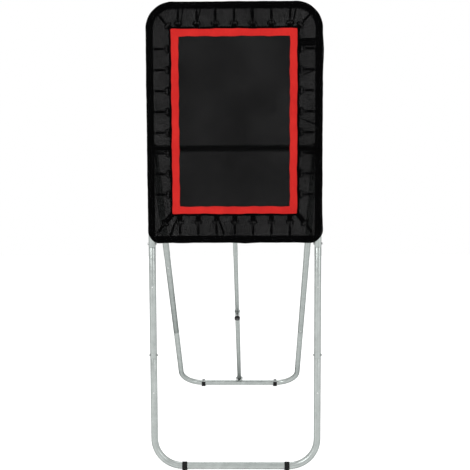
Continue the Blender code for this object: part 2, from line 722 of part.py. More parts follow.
def build_lugs(tube, pivot):
    """Two lugs on the rear foot tube that hold the strut's lower pin."""
    half = LOWER_PIN_RADIUS + GAP + EAR_MARGIN / 2
    root = -REAR_LEG_LENGTH + TUBE_RADIUS - EAR_WELD
    tip = LUG_PLACE.z + half
    low = LUG_PLACE.y - half - LUG_TOE * LUG_OFFSET
    high = LUG_PLACE.y + half
    cut = half / 2
    outline = [(low, root), (high - LUG_OFFSET, root), (high, LUG_PLACE.z - cut), (high, tip - cut),
               (high - cut, tip), (low + 2 * cut, tip), (low, LUG_PLACE.z)]
    for side, word in ((-1, "left"), (1, "right")):
        near, far = sorted((side * LUG_INNER, side * (LUG_INNER + EAR_PLATE)))
        mesh = extrude_outline("lug_" + word, outline, "X", near, far)
        combine(tube, add_object("lug_" + word, mesh, None, pivot), "UNION")
    width = LUG_INNER + 2 * EAR_PLATE
    hole = rod_cutter("lug_hole", LUG_PLACE, LOWER_PIN_RADIUS + GAP, -width, width, parent=pivot)
    combine(tube, hole, "DIFFERENCE")


def build_pivot_bolts(materials, pivot):
    """Bolts of the fold: through the ear and the leg, with the nut inside the crossbar."""
    nut_seat = LEG_X - TUBE_RADIUS - GAP
    head_seat = LEG_X + TUBE_RADIUS + EAR_CLEARANCE + EAR_PLATE + GAP
    profile = fastener(PIVOT_BOLT_RADIUS, PIVOT_HEAD_RADIUS, PIVOT_HEAD_HEIGHT, nut_seat, head_seat,
                       PIVOT_NUT_RADIUS, PIVOT_NUT_HEIGHT)
    mesh = turned("pivot_bolt", profile)
    for side, word in ((-1, "left"), (1, "right")):
        turn = (0.0, 0.0, 0.0 if side > 0 else pi)
        add_object("pivot_bolt_" + word, mesh, materials["zinc"], pivot, turn=turn)


# Strut

def build_strut_tube(materials, foot):
    """Lower tube of the strut, with a collar at its mouth and a hole for the clamp screw."""
    up = Vector((0.0, 0.0, 1.0))
    low = -STRUT_END * up
    mouth = STRUT_TUBE_LENGTH * up
    collar = mouth - COLLAR_LENGTH * up
    outer = [(low, up, STRUT_TUBE_RADIUS), (collar, up, STRUT_TUBE_RADIUS), (collar, up, COLLAR_RADIUS),
             (mouth, up, COLLAR_RADIUS)]
    inner = [(low, up, STRUT_BORE), (mouth, up, STRUT_BORE)]
    tube = add_object("strut_tube", pipe("strut_tube", outer, inner), materials["tube"], foot)
    pin_hole = rod_cutter("strut_pin_hole", (0.0, 0.0, 0.0), LOWER_PIN_RADIUS + GAP,
                          -COLLAR_RADIUS, COLLAR_RADIUS, parent=foot)
    combine(tube, pin_hole, "DIFFERENCE")
    clamp_hole = rod_cutter("clamp_hole", (0.0, 0.0, CLAMP_PLACE), CLAMP_SCREW_RADIUS + GAP,
                            -COLLAR_RADIUS, -ROD_RADIUS / 2, "Y", foot)
    combine(tube, clamp_hole, "DIFFERENCE")

    pin_seat = LUG_INNER + EAR_PLATE + GAP
    profile = fastener(LOWER_PIN_RADIUS, PIN_HEAD_RADIUS, PIN_HEAD_HEIGHT, -pin_seat, pin_seat)
    add_object("strut_pin_lower", turned("strut_pin_lower", profile), materials["zinc"], foot)


def build_rod(materials, foot):
    """Sliding rod of the strut, with the pin at its top end."""
    up = Vector((0.0, 0.0, 1.0))
    top = add_empty("strut_slide", (0.0, 0.0, STRUT_LENGTH), parent=foot)
    low = (STRUT_END - ROD_LENGTH) * up
    mesh = straight_pipe("strut_rod", low, STRUT_END * up, ROD_RADIUS, ROD_RADIUS - ROD_WALL)
    rod = add_object("strut_rod", mesh, materials["tube"], top)
    hole = rod_cutter("rod_pin_hole", (0.0, 0.0, 0.0), UPPER_PIN_RADIUS + GAP,
                      -COLLAR_RADIUS, COLLAR_RADIUS, parent=top)
    combine(rod, hole, "DIFFERENCE")

    pin_seat = FORK_INNER + EAR_PLATE + 2 * GAP
    profile = fastener(UPPER_PIN_RADIUS, PIN_HEAD_RADIUS, PIN_HEAD_HEIGHT, -pin_seat, pin_seat)
    add_object("strut_pin_upper", turned("strut_pin_upper", profile), materials["zinc"], top)


def build_clamp(materials, foot):
    """Threaded boss on the strut's tube, and the knob whose screw presses on the rod."""
    place = (0.0, 0.0, CLAMP_PLACE)
    seat = STRUT_TUBE_RADIUS + GAP
    top = seat + BOSS_HEIGHT
    bore = CLAMP_SCREW_RADIUS + GAP
    along = Vector((0.0, -1.0, 0.0))
    normal = Vector((0.0, 0.0, 1.0))
    side = normal.cross(along)
    profile = [(seat, BOSS_RADIUS), (top, BOSS_RADIUS), (top, bore), (seat, bore)]
    rings = [circle_ring(step * along, normal, side, radius) for step, radius in profile]
    add_object("clamp_boss", loft("clamp_boss", rings, closed=True), materials["zinc"], foot, place)

    base = top + KNOB_STAND_OFF
    tip = ROD_RADIUS + GAP
    crown = base + KNOB_HEIGHT
    sections = [
        (tip, CLAMP_SCREW_RADIUS, 0.0),
        (base, CLAMP_SCREW_RADIUS, 0.0),
        (base, KNOB_FACE * KNOB_RADIUS, KNOB_FLUTE),
        (base + KNOB_EDGE * KNOB_HEIGHT, KNOB_RADIUS, KNOB_FLUTE),
        (crown - KNOB_EDGE * KNOB_HEIGHT, KNOB_RADIUS, KNOB_FLUTE),
        (crown, KNOB_FACE * KNOB_RADIUS, KNOB_FLUTE),
    ]
    rings = []
    for step, radius, flute in sections:
        ring = []
        for i in range(2 * KNOB_LOBES):
            angle = pi * i / KNOB_LOBES
            reach = radius - flute * (i % 2)
            ring.append(step * along + reach * (cos(angle) * normal + sin(angle) * side))
        rings.append(ring)
    add_object("clamp_knob", loft("clamp_knob", rings), materials["plastic"], foot, place)


# Feet

def build_front_feet(materials):
    """Rubber clips round the front foot tube, open at the top rear, flat below."""
    centre = (FRONT_Y, BAR_HEIGHT)
    inner = TUBE_RADIUS + GAP
    outer = inner + CLIP_WALL
    outline = arc(centre, outer, CLIP_FRONT_LIP, CLIP_BASE_ANGLE, 5)
    outline += [(FRONT_Y - CLIP_BASE / 2, 0.0), (FRONT_Y + CLIP_BASE / 2, 0.0)]
    outline += arc(centre, outer, 3 * pi - CLIP_BASE_ANGLE, CLIP_REAR_LIP, 3)
    outline += arc(centre, inner, CLIP_REAR_LIP, CLIP_FRONT_LIP, 10)
    half = FOOT_WIDTH / 2
    place = SIDE_X - FOOT_INSET
    for side, word in ((-1, "left"), (1, "right")):
        name = "front_foot_" + word
        mesh = extrude_outline(name, outline, "X", side * place - half, side * place + half)
        add_object(name, mesh, materials["rubber"])


def build_rear_feet(materials, pivot):
    """Rubber saddles under the rear foot tube, level with the floor when the frame stands."""
    upright = add_empty("rear_pad_level", (0.0, 0.0, -REAR_LEG_LENGTH), (-LEAN, 0.0, 0.0), pivot)
    lip = PAD_HEIGHT - BAR_HEIGHT
    inner = (TUBE_RADIUS + GAP) / cos(pi / (2 * TUBE_SIDES))
    lip_angle = asin(lip / inner)
    outline = [(-PAD_REACH, -BAR_HEIGHT), (PAD_REACH, -BAR_HEIGHT), (PAD_REACH, lip)]
    outline += arc((0.0, 0.0), inner, lip_angle, -pi - lip_angle, TUBE_SIDES)
    outline += [(-PAD_REACH, lip)]
    half = FOOT_WIDTH / 2
    place = LEG_X - REAR_FOOT_INSET
    for side, word in ((-1, "left"), (1, "right")):
        name = "rear_foot_" + word
        mesh = extrude_outline(name, outline, "X", side * place - half, side * place + half)
        add_object(name, mesh, materials["rubber"], upright)


# Fold

def strut_state(fold):
    """Length and lean that the strut would need at a fold angle to meet both pins."""
    foot = PIVOT + Matrix.Rotation(-fold, 3, "X") @ (STRUT_FOOT - PIVOT)
    line = STRUT_TOP - foot
    return foot, hypot(line.y, line.z), atan2(-line.y, line.z)


def work_out_fold():
    """Steady ratios of the strut's two joints to the fold, and how far its top pin drifts."""
    folded_length, folded_lean = strut_state(FOLD_ANGLE)[1:]
    turn_ratio = (STRUT_LEAN - folded_lean) / FOLD_ANGLE - 1.0
    slide_ratio = (STRUT_LENGTH - folded_length) / FOLD_ANGLE
    offsets = []
    for i in range(FOLD_STEPS + 1):
        fold = FOLD_ANGLE * i / FOLD_STEPS
        foot = strut_state(fold)[0]
        lean = STRUT_LEAN - (1.0 + turn_ratio) * fold
        length = STRUT_LENGTH - slide_ratio * fold
        pin = foot + length * Vector((0.0, -sin(lean), cos(lean)))
        offsets.append((pin.y - STRUT_TOP.y, pin.z - STRUT_TOP.z))
    low = tuple(min(offset[i] for offset in offsets) for i in (0, 1))
    high = tuple(max(offset[i] for offset in offsets) for i in (0, 1))
    print(f"fold {degrees(FOLD_ANGLE):.2f} deg, lean {degrees(LEAN):.3f} deg")
    print(f"strut lean {degrees(STRUT_LEAN):.3f} deg, clamp {CLAMP_PLACE:.4f} m up the strut")
    print(f"strut turn ratio {turn_ratio:.6f}, slide ratio {slide_ratio:.6f} m per rad")
    print(f"pivot {tuple(PIVOT)}, strut foot {tuple(STRUT_FOOT)}, strut top {tuple(STRUT_TOP)}")
    return {"low": low, "high": high}


def main():
    clear_scene()
    materials = make_materials()
    drift = work_out_fold()
    build_arch(materials)
    build_cross_tube(materials, drift)
    for side, word in ((-1, "left"), (1, "right")):
        build_front_leg(side, word, materials)
    build_front_foot_tube(materials)
    build_joint_screws(materials)
    build_net(materials)
    build_band(materials)
    build_cover(materials)
    build_sleeves(materials)
    build_springs(materials)
    build_front_feet(materials)

    pivot = add_empty("rear_fold", PIVOT, (LEAN, 0.0, 0.0))
    build_rear_frame(materials, pivot)
    build_pivot_bolts(materials, pivot)
    build_rear_feet(materials, pivot)

    foot = add_empty("strut_turn", LUG_PLACE, (STRUT_LEAN - LEAN, 0.0, 0.0), pivot)
    build_strut_tube(materials, foot)
    build_rod(materials, foot)
    build_clamp(materials, foot)
    bpy.context.view_layer.update()


main()
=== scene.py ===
"""Looks of a folding lacrosse rebounder: net panel, steel stand, strut, studio and camera."""

from math import atan2, cos, degrees, exp, hypot, pi, radians, sin

import bmesh
import bpy
from mathutils import Matrix, Vector


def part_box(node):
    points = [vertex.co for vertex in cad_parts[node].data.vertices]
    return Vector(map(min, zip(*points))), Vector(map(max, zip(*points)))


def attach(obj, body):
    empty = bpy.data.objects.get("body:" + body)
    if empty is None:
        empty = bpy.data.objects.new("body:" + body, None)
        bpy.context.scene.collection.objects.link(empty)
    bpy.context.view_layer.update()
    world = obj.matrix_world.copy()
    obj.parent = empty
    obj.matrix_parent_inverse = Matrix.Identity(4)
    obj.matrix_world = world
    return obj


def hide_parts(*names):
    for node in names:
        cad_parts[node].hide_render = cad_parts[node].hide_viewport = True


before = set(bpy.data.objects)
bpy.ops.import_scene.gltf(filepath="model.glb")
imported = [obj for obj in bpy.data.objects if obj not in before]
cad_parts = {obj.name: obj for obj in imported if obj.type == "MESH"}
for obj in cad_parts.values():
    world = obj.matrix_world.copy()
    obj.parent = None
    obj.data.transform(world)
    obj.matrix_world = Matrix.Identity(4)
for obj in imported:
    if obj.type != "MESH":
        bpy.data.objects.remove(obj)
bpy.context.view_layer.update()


# Short forms for places and turns

def at(x=0.0, y=0.0, z=0.0):
    return Vector((x, y, z))


def shift(x=0.0, y=0.0, z=0.0):
    return Matrix.Translation((x, y, z))


def turned(angle, axis):
    return Matrix.Rotation(angle, 4, axis)


def middle(node):
    low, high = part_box(node)
    return (low + high) / 2


FORWARD, BACK, UP = at(y=-1.0), at(y=1.0), at(z=1.0)
SIDES = ((-1, "left"), (1, "right"))
FRONT, REAR = "front_frame", "rear_frame"

# Clearance between pieces that touch
FIT = 0.0003

# Places read from the frame
LEG_LOW, LEG_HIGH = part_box("front_leg_right")
SIDE_X, FRONT_Y, _ = middle("front_leg_right")
TUBE_RADIUS = (LEG_HIGH.y - LEG_LOW.y) / 2
LOWER_SEAM = LEG_LOW.z
ARCH_LOW, ARCH_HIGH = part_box("front_arch_tube")
UPPER_SEAM = ARCH_LOW.z
FRAME_TOP = ARCH_HIGH.z - TUBE_RADIUS
CROSS_LOW, CROSS_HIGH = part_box("front_cross_tube")
CROSS_HEIGHT = middle("frame_sleeve_lower").z
BAR_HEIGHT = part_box("front_foot_tube")[0].z + TUBE_RADIUS
NET_LOW, NET_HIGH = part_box("rebound_net")
NET_HALF = NET_HIGH.x
BAND_LOW, BAND_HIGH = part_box("target_band")
COVER_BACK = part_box("spring_cover")[1].y
PIVOT = middle("rear_crossbar")
LEG_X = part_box("rear_crossbar")[1].x + TUBE_RADIUS + FIT
REAR_BAR = at(0.0, middle("rear_foot_left").y, BAR_HEIGHT)
STRUT_FOOT = middle("strut_pin_lower")
STRUT_TOP = middle("strut_pin_upper")
CLAMP = middle("clamp_boss")

# Directions of the leaning frame and of the strut
LEG_LINE = REAR_BAR - PIVOT
REAR_LEG = LEG_LINE.length
STRUT_LINE = STRUT_TOP - STRUT_FOOT
REAR_PLACE = Matrix.Translation(PIVOT) @ turned(atan2(LEG_LINE.y, -LEG_LINE.z), "X")
STRUT_PLACE = Matrix.Translation(STRUT_FOOT) @ turned(atan2(-STRUT_LINE.y, STRUT_LINE.z), "X")

# Tube sizes
TUBE_WALL = 0.0012
SPIGOT = TUBE_RADIUS - TUBE_WALL - FIT
SPIGOT_LENGTH = 0.040
BEND = 0.110
ARCH_BEND = 0.088
BEND_STEPS = 14
REAR_SEAM = 1.245
LEG_STUB = 0.013
TUBE_SIDES = 36
STRUT_SIDES = 28

# Plates and welds
PLATE = 0.003
PLATE_ROOM = 0.0005
WELD_DEPTH = 0.0034
BEAD_RISE = 0.0009
BEAD_RIPPLE = 0.0002
HOLE_RADIUS = 0.0043

# Snap buttons, below the seams on the front frame and below the pivot on the rear legs
DIMPLE_RADIUS = 0.0034
DIMPLE_DEPTH = 0.0009
BUTTON_RADIUS = 0.0030
BUTTON_RISE = 0.0019
LEG_BUTTON = 0.157
FOOT_BUTTON = 0.138
REAR_BUTTONS = {"left": -0.722, "right": -1.228}

# Strut sizes
STRUT_RADIUS = 0.0105
STRUT_TUBE = 0.834
STRUT_END = 0.010
COLLAR_RADIUS = 0.012
COLLAR_LENGTH = 0.012
ROD_RADIUS = 0.009
ROD_OVERLAP = 0.1635
FORK_INNER = ROD_RADIUS + PLATE_ROOM
LUG_INNER = STRUT_RADIUS + PLATE_ROOM

# Fabric sizes
SLEEVE_OUTER = TUBE_RADIUS + 0.0009
SLEEVE_OPENING = radians(26)
WRAP_RADIUS = TUBE_RADIUS + 0.0013
WRAP_END = radians(122)
LOWER_CORNER = 0.040
COVER_CORNER_STEPS = 16
COVER_EDGE = 0.0074
BAND_WIDTH = 0.0295
BAND_CLOTH = 0.0005
HEM_DEPTH = 0.0098
HEM_HALF = 0.00155
HEM_SEAM = 0.0070
SEAM_MARGIN = 0.0032
STITCH_PITCH = 0.0062

# Knob sizes
KNOB_BASE = -0.0190
KNOB_HEIGHT = 0.013
KNOB_RADIUS = 0.0127
FLUTES = 12
FLUTE_DEPTH = 0.0011

# Spring sizes
WIRE = 0.00095
COIL = 0.0045
COIL_TURNS = 17
COIL_LENGTH = 0.0325
COIL_LEAD = 0.0056
HOOK = 0.0024
INNER_HOOK = 0.0048
RING_WIRE = 0.0025
RING_REACH = 0.0125
SPRING_ROOM = 0.0006
LONGEST_SPRING = 0.092

# Studio values
WORLD_LIGHT = 0.70
FLOOR_GLOW = 0.75
FLOOR_SIZE = 14.0


# Working with objects

def deselect():
    if bpy.context.mode != "OBJECT":
        bpy.ops.object.mode_set(mode="OBJECT")
    bpy.ops.object.select_all(action="DESELECT")


def take(item):
    """Make one object the only selected one, and the active one."""
    deselect()
    item.select_set(True)
    bpy.context.view_layer.objects.active = item
    return item


def open_mesh(item, kind="VERT", action="DESELECT"):
    take(item)
    bpy.ops.object.mode_set(mode="EDIT")
    bpy.ops.mesh.select_mode(type=kind)
    bpy.ops.mesh.select_all(action=action)


def close_mesh():
    bpy.ops.object.mode_set(mode="OBJECT")


def move_open(value):
    """Extrude what is selected in the open mesh."""
    bpy.ops.mesh.extrude_region_move(TRANSFORM_OT_translate={"value": value})


def pick(item, kind, test):
    """Select the edges or faces of the open mesh whose middle passes a test."""
    bm = bmesh.from_edit_mesh(item.data)
    for part in bm.edges if kind == "EDGE" else bm.faces:
        if kind == "EDGE":
            centre = (part.verts[0].co + part.verts[1].co) / 2
        else:
            centre = part.calc_center_median()
        part.select_set(bool(test(centre)))
    bm.select_flush_mode()
    bmesh.update_edit_mesh(item.data)


def name_piece(name):
    item = bpy.context.object
    item.name = name
    item.data.name = name
    return item


def settle(item, place=None):
    """Put an object's place into its mesh, after an optional move."""
    take(item)
    if place is not None:
        item.matrix_world = place @ item.matrix_world
    bpy.ops.object.transform_apply()
    return item


def apply_modifier(item, kind, **values):
    take(item)
    modifier = item.modifiers.new(kind.lower(), kind)
    for key, value in values.items():
        setattr(modifier, key, value)
    bpy.ops.object.modifier_apply(modifier=modifier.name)
    return item


def merge_points(item):
    open_mesh(item, action="SELECT")
    bpy.ops.mesh.remove_doubles(threshold=0.00002)


def mend_normals(item):
    merge_points(item)
    bpy.ops.mesh.normals_make_consistent(inside=False)
    close_mesh()
    return item


def flip_faces(item):
    open_mesh(item, action="SELECT")
    bpy.ops.mesh.flip_normals()
    close_mesh()


def smooth(item, angle=40):
    take(item)
    bpy.ops.object.shade_smooth_by_angle(angle=radians(angle))
    return item


def round_edges(item, width, segments=2, angle=50):
    return apply_modifier(item, "BEVEL", width=width, segments=segments, limit_method="ANGLE",
                          angle_limit=radians(angle), use_clamp_overlap=True)


def combine(item, tool, operation):
    apply_modifier(item, "BOOLEAN", object=tool, operation=operation, solver="EXACT")
    bpy.data.objects.remove(tool)
    return item


def cut(item, tool):
    return combine(item, tool, "DIFFERENCE")


def copy_piece(item, name, place):
    """Copy a piece with a mesh of its own."""
    take(item)
    bpy.ops.object.duplicate(linked=False)
    return settle(name_piece(name), place)


def merge_pieces(items, name):
    """Join pieces into one object."""
    deselect()
    for item in items:
        item.select_set(True)
    bpy.context.view_layer.objects.active = items[0]
    bpy.ops.object.join()
    return name_piece(name)


def dress(item, material, body, *nodes):
    """Give a piece its material, its body and the nodes it stands for."""
    item.data.materials.clear()
    item.data.materials.append(material)
    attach(item, body)
    if nodes:
        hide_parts(*nodes)
    return item


# Starting shapes

def add_box(name, low, high):
    deselect()
    low, high = Vector(low), Vector(high)
    bpy.ops.mesh.primitive_cube_add(size=1.0, location=(low + high) / 2, scale=high - low)
    return settle(name_piece(name))


def add_rod(name, start, end, radius, sides=32):
    """Solid round bar between two points."""
    deselect()
    start, end = Vector(start), Vector(end)
    line = end - start
    turn = line.to_track_quat("Z", "Y").to_euler()
    bpy.ops.mesh.primitive_cylinder_add(vertices=sides, radius=radius, depth=line.length,
                                        location=(start + end) / 2, rotation=turn)
    return settle(name_piece(name))


def add_mesh(name, points, edges=(), faces=()):
    mesh = bpy.data.meshes.new(name)
    mesh.from_pydata([tuple(point) for point in points], edges, faces)
    item = bpy.data.objects.new(name, mesh)
    bpy.context.scene.collection.objects.link(item)
    return item


def lay_line(name, points, bend=0.0, segments=10, closed=False):
    """Line of edges through points, each inner corner rounded to a radius."""
    count = len(points)
    edges = [(i, i + 1) for i in range(count - 1)]
    if closed:
        edges.append((count - 1, 0))
    item = add_mesh(name, points, edges)
    if bend:
        open_mesh(item)
        bm = bmesh.from_edit_mesh(item.data)
        for vert in bm.verts:
            vert.select_set(len(vert.link_edges) == 2)
        bm.select_flush_mode()
        bmesh.update_edit_mesh(item.data)
        bpy.ops.mesh.bevel(offset=bend, segments=segments, affect="VERTICES", offset_type="OFFSET")
        close_mesh()
    return item


def round_line(item, name, radius, sides, caps=False, shape=None):
    """Turn a line into a round bar or tube, with an optional share of the radius by place."""
    take(item)
    bpy.ops.object.convert(target="CURVE")
    curve = bpy.context.object.data
    curve.bevel_depth = radius
    curve.bevel_resolution = sides // 2 - 2
    curve.use_fill_caps = caps
    if shape:
        for spline in curve.splines:
            for point in spline.points:
                point.radius = shape(Vector(point.co[:3]))
    bpy.ops.object.convert(target="MESH")
    return mend_normals(name_piece(name))


def make_tube(name, points, radius=TUBE_RADIUS, wall=TUBE_WALL, bend=0.0, shape=None,
              sides=TUBE_SIDES):
    """Hollow tube along points, its bends of one radius and its rims slightly rounded."""
    line = lay_line(name, points, bend, BEND_STEPS)
    item = round_line(line, name, radius, sides, shape=shape)
    apply_modifier(item, "SOLIDIFY", thickness=wall, offset=-1.0, use_even_offset=False)
    round_edges(item, 0.0003, 2, 60)
    return smooth(item)


def make_wire(name, points, radius, bend=0.0, sides=8, closed=False):
    line = lay_line(name, points, bend, 6, closed)
    return smooth(round_line(line, name, radius, sides, caps=not closed), 60)


def make_bead(start, step, count, radius):
    """Rippled bead of weld along a line."""
    points = [start + i * step + at(y=BEAD_RIPPLE * (i % 2)) for i in range(count)]
    return make_wire("bead", points, radius, sides=10)


def shape_grid(name, columns, rows, place, closed=False):
    """Sheet from a flat grid whose points are moved to place(u, v)."""
    deselect()
    bpy.ops.mesh.primitive_grid_add(x_subdivisions=columns, y_subdivisions=rows, size=1.0)
    item = name_piece(name)
    for vert in item.data.vertices:
        vert.co = place(vert.co.x + 0.5, vert.co.y + 0.5)
    item.data.update()
    if closed:
        merge_points(item)
        close_mesh()
    return item


def face_forward(item):
    """Turn a sheet's faces so that most of them look to the front."""
    if sum(face.normal.dot(FORWARD) * face.area for face in item.data.polygons) < 0:
        flip_faces(item)
    return item


def thicken(item, thickness, offset=-1.0):
    apply_modifier(item, "SOLIDIFY", thickness=thickness, offset=offset, use_rim=True)
    return smooth(item, 60)


# Material building

def between(first, second):
    return tuple((a + b) / 2 for a, b in zip(first, second))


def new_material(name, colour, roughness, metallic=0.0, specular=0.5, edge=None):
    material = bpy.data.materials.new(name)
    material.use_nodes = True
    shader = material.node_tree.nodes["Principled BSDF"]
    shader.inputs["Base Color"].default_value = (*colour, 1.0)
    shader.inputs["Roughness"].default_value = roughness
    shader.inputs["Metallic"].default_value = metallic
    shader.inputs["Specular IOR Level"].default_value = specular
    if edge:
        shader.inputs["Specular Tint"].default_value = (*edge, 1.0)
    material.diffuse_color = (*colour, 1.0)
    return material, material.node_tree, shader


def add_node(tree, kind, values=None, **settings):
    node = tree.nodes.new("ShaderNode" + kind)
    for key, value in settings.items():
        setattr(node, key, value)
    for key, value in (values or {}).items():
        if hasattr(value, "is_output"):
            tree.links.new(value, node.inputs[key])
        else:
            node.inputs[key].default_value = value
    return node


def calc(tree, operation, first, second=0.0):
    return add_node(tree, "Math", {0: first, 1: second}, operation=operation).outputs[0]


def times(tree, first, second):
    return calc(tree, "MULTIPLY", first, second)


def plus(tree, first, second):
    return calc(tree, "ADD", first, second)


def spread(tree, value, low, high, to_low=0.0, to_high=1.0):
    """Map one range of a value onto another."""
    node = add_node(tree, "MapRange", {"Value": value, "From Min": low, "From Max": high,
                                       "To Min": to_low, "To Max": to_high})
    return node.outputs["Result"]


def colour_by(tree, shader, factor, first, second):
    """Colour that goes from one to another with a factor."""
    node = add_node(tree, "Mix", data_type="RGBA")
    tree.links.new(factor, node.inputs["Factor"])
    colours = [entry for entry in node.inputs if entry.type == "RGBA"]
    colours[0].default_value = (*first, 1.0)
    colours[1].default_value = (*second, 1.0)
    mixed = [entry for entry in node.outputs if entry.type == "RGBA"][0]
    tree.links.new(mixed, shader.inputs["Base Color"])


def roughness_by(tree, shader, value, low, high):
    tree.links.new(spread(tree, value, 0.3, 0.7, low, high), shader.inputs["Roughness"])


def object_point(tree, scale=(1.0, 1.0, 1.0)):
    coordinates = add_node(tree, "TexCoord").outputs["Object"]
    return add_node(tree, "Mapping", {"Vector": coordinates, "Scale": scale}).outputs["Vector"]


def noise(tree, vector, scale, detail=3.0, roughness=0.5):
    return add_node(tree, "TexNoise", {"Vector": vector, "Scale": scale, "Detail": detail,
                                       "Roughness": roughness}).outputs[0]


def cloud_noise(tree, scale):
    return noise(tree, object_point(tree), scale, 4.0, 0.6)


def add_bump(tree, shader, height, distance, strength=1.0):
    bump = add_node(tree, "Bump", {"Height": height, "Distance": distance, "Strength": strength})
    tree.links.new(bump.outputs["Normal"], shader.inputs["Normal"])


def tube_material(name, edge):
    """Galvanised tube: drawn streaks along its length, cloudy zinc, faint pits."""
    dark, light = (0.289, 0.314, 0.304), (0.503, 0.537, 0.523)
    material, tree, shader = new_material(name, (0.396, 0.426, 0.414), 0.34, 1.0, edge=edge)
    uv = add_node(tree, "UVMap").outputs["UV"]
    parts = add_node(tree, "SeparateXYZ", {0: uv})
    angle = times(tree, parts.outputs[1], 2 * pi)
    across = times(tree, calc(tree, "COSINE", angle), 5.0)
    around = times(tree, calc(tree, "SINE", angle), 5.0)
    along = times(tree, parts.outputs[0], 1.5)
    ring = add_node(tree, "CombineXYZ", {0: across, 1: around, 2: along}).outputs[0]
    streak = noise(tree, ring, 1.0, 4.0, 0.6)
    cloud = cloud_noise(tree, 38.0)
    mixed = plus(tree, times(tree, streak, 0.65), times(tree, cloud, 0.35))
    colour_by(tree, shader, spread(tree, mixed, 0.34, 0.66), dark, light)
    roughness_by(tree, shader, cloud, 0.27, 0.42)
    pits = noise(tree, object_point(tree), 420.0, 2.0)
    height = plus(tree, times(tree, streak, 0.8), times(tree, pits, 0.2))
    add_bump(tree, shader, height, 0.0006, 0.35)
    return material


def metal_material(name, dark, light, rough, scale, edge=0.5):
    """Plated or bare metal with cloudy tone and fine scratches."""
    material, tree, shader = new_material(name, between(dark, light), sum(rough) / 2, 1.0, edge=[edge] * 3)
    cloud = cloud_noise(tree, scale)
    scratches = noise(tree, object_point(tree, (1.0, 6.0, 1.0)), 6 * scale, 3.0, 0.7)
    colour_by(tree, shader, spread(tree, cloud, 0.35, 0.65), dark, light)
    roughness_by(tree, shader, scratches, *rough)
    add_bump(tree, shader, scratches, 0.0002, 0.3)
    return material


def weave_waves(tree, pitch):
    """Two crossing waves over the panel's plane, which also turn round its edge."""
    coordinates = add_node(tree, "TexCoord").outputs["Object"]
    parts = add_node(tree, "SeparateXYZ", {0: coordinates})
    waves = []
    for axis in (0, 2):
        place = plus(tree, parts.outputs[axis], parts.outputs[1])
        waves.append(calc(tree, "SINE", times(tree, place, 2 * pi / pitch)))
    return waves


def mesh_material(name, colour, pitch, clear, specular):
    """See-through knitted mesh: fine holes between crossing threads."""
    material, tree, shader = new_material(name, colour, 0.8, 0.0, specular)
    across, down = weave_waves(tree, pitch)
    hole = spread(tree, times(tree, across, down), 0.05, 0.45)
    cloud = noise(tree, object_point(tree), 9.0, 3.0)
    clearness = times(tree, spread(tree, cloud, 0.3, 0.7, 0.85, 1.15), clear)
    alpha = calc(tree, "SUBTRACT", 1.0, times(tree, hole, clearness))
    tree.links.new(alpha, shader.inputs["Alpha"])
    thread = calc(tree, "MAXIMUM", calc(tree, "ABSOLUTE", across), calc(tree, "ABSOLUTE", down))
    colour_by(tree, shader, thread, colour, [1.8 * part for part in colour])
    add_bump(tree, shader, thread, 0.0004, 0.5)
    return material


def cloth_material(name, dark, light, pitch, roughness, specular):
    """Woven fabric: crossing threads, faint slubs, cloudy tone."""
    material, tree, shader = new_material(name, between(dark, light), roughness, 0.0, specular)
    across, down = weave_waves(tree, pitch)
    weave = times(tree, across, down)
    slubs = noise(tree, object_point(tree, (1.0, 1.0, 0.25)), 160.0, 3.0)
    cloud = cloud_noise(tree, 14.0)
    mixed = plus(tree, times(tree, weave, 0.2), plus(tree, cloud, times(tree, slubs, 0.3)))
    colour_by(tree, shader, spread(tree, mixed, 0.35, 0.95), dark, light)
    roughness_by(tree, shader, slubs, roughness - 0.06, roughness + 0.06)
    add_bump(tree, shader, plus(tree, weave, slubs), 0.0003, 0.5)
    return material


def moulded_material(name, dark, light, rough, grain):
    """Moulded rubber or plastic with a fine grain and rubbed patches."""
    material, tree, shader = new_material(name, between(dark, light), sum(rough) / 2, 0.0, 0.2)
    fine = noise(tree, object_point(tree), grain, 2.0)
    cloud = cloud_noise(tree, 60.0)
    colour_by(tree, shader, spread(tree, cloud, 0.35, 0.7), dark, light)
    roughness_by(tree, shader, cloud, *rough)
    add_bump(tree, shader, fine, 0.0002, 0.4)
    return material


TUBE = tube_material("tube_steel", (0.15, 0.155, 0.152))
STRUT_STEEL = tube_material("strut_steel", (0.46, 0.47, 0.465))
ZINC = metal_material("zinc_steel", (0.40, 0.41, 0.41), (0.62, 0.63, 0.62), (0.22, 0.40), 120.0)
BOLT = metal_material("bolt_steel", (0.22, 0.225, 0.225), (0.40, 0.41, 0.41), (0.24, 0.42), 140.0, 0.2)
SPRING = metal_material("spring_wire", (0.09, 0.092, 0.093), (0.20, 0.203, 0.206), (0.30, 0.46), 200.0, 0.2)
RING = metal_material("coated_ring", (0.012, 0.012, 0.013), (0.035, 0.035, 0.037), (0.35, 0.52), 220.0, 0.1)
BUTTON = metal_material("button_zinc", (0.56, 0.57, 0.57), (0.72, 0.73, 0.72), (0.20, 0.34), 160.0)
NET = mesh_material("net_mesh", (0.0011, 0.0011, 0.0012), 0.0018, 0.21, 0.03)
COVER = mesh_material("cover_mesh", (0.0008, 0.0008, 0.0009), 0.0021, 0.455, 0.02)
SLEEVE = cloth_material("sleeve_fabric", (0.0008, 0.0008, 0.0009), (0.0019, 0.0019, 0.0021),
                        0.0009, 0.86, 0.02)
HEM = cloth_material("hem_fabric", (0.0010, 0.0010, 0.0011), (0.0024, 0.0024, 0.0026), 0.0010, 0.80, 0.04)
BAND = cloth_material("target_red", (0.585, 0.014, 0.013), (0.75, 0.026, 0.021), 0.0012, 0.62, 0.12)
THREAD = cloth_material("stitch_thread", (0.42, 0.010, 0.010), (0.55, 0.016, 0.014), 0.0006, 0.7, 0.2)
RUBBER = moulded_material("foot_rubber", (0.003, 0.003, 0.003), (0.008, 0.008, 0.008), (0.55, 0.75), 900.0)
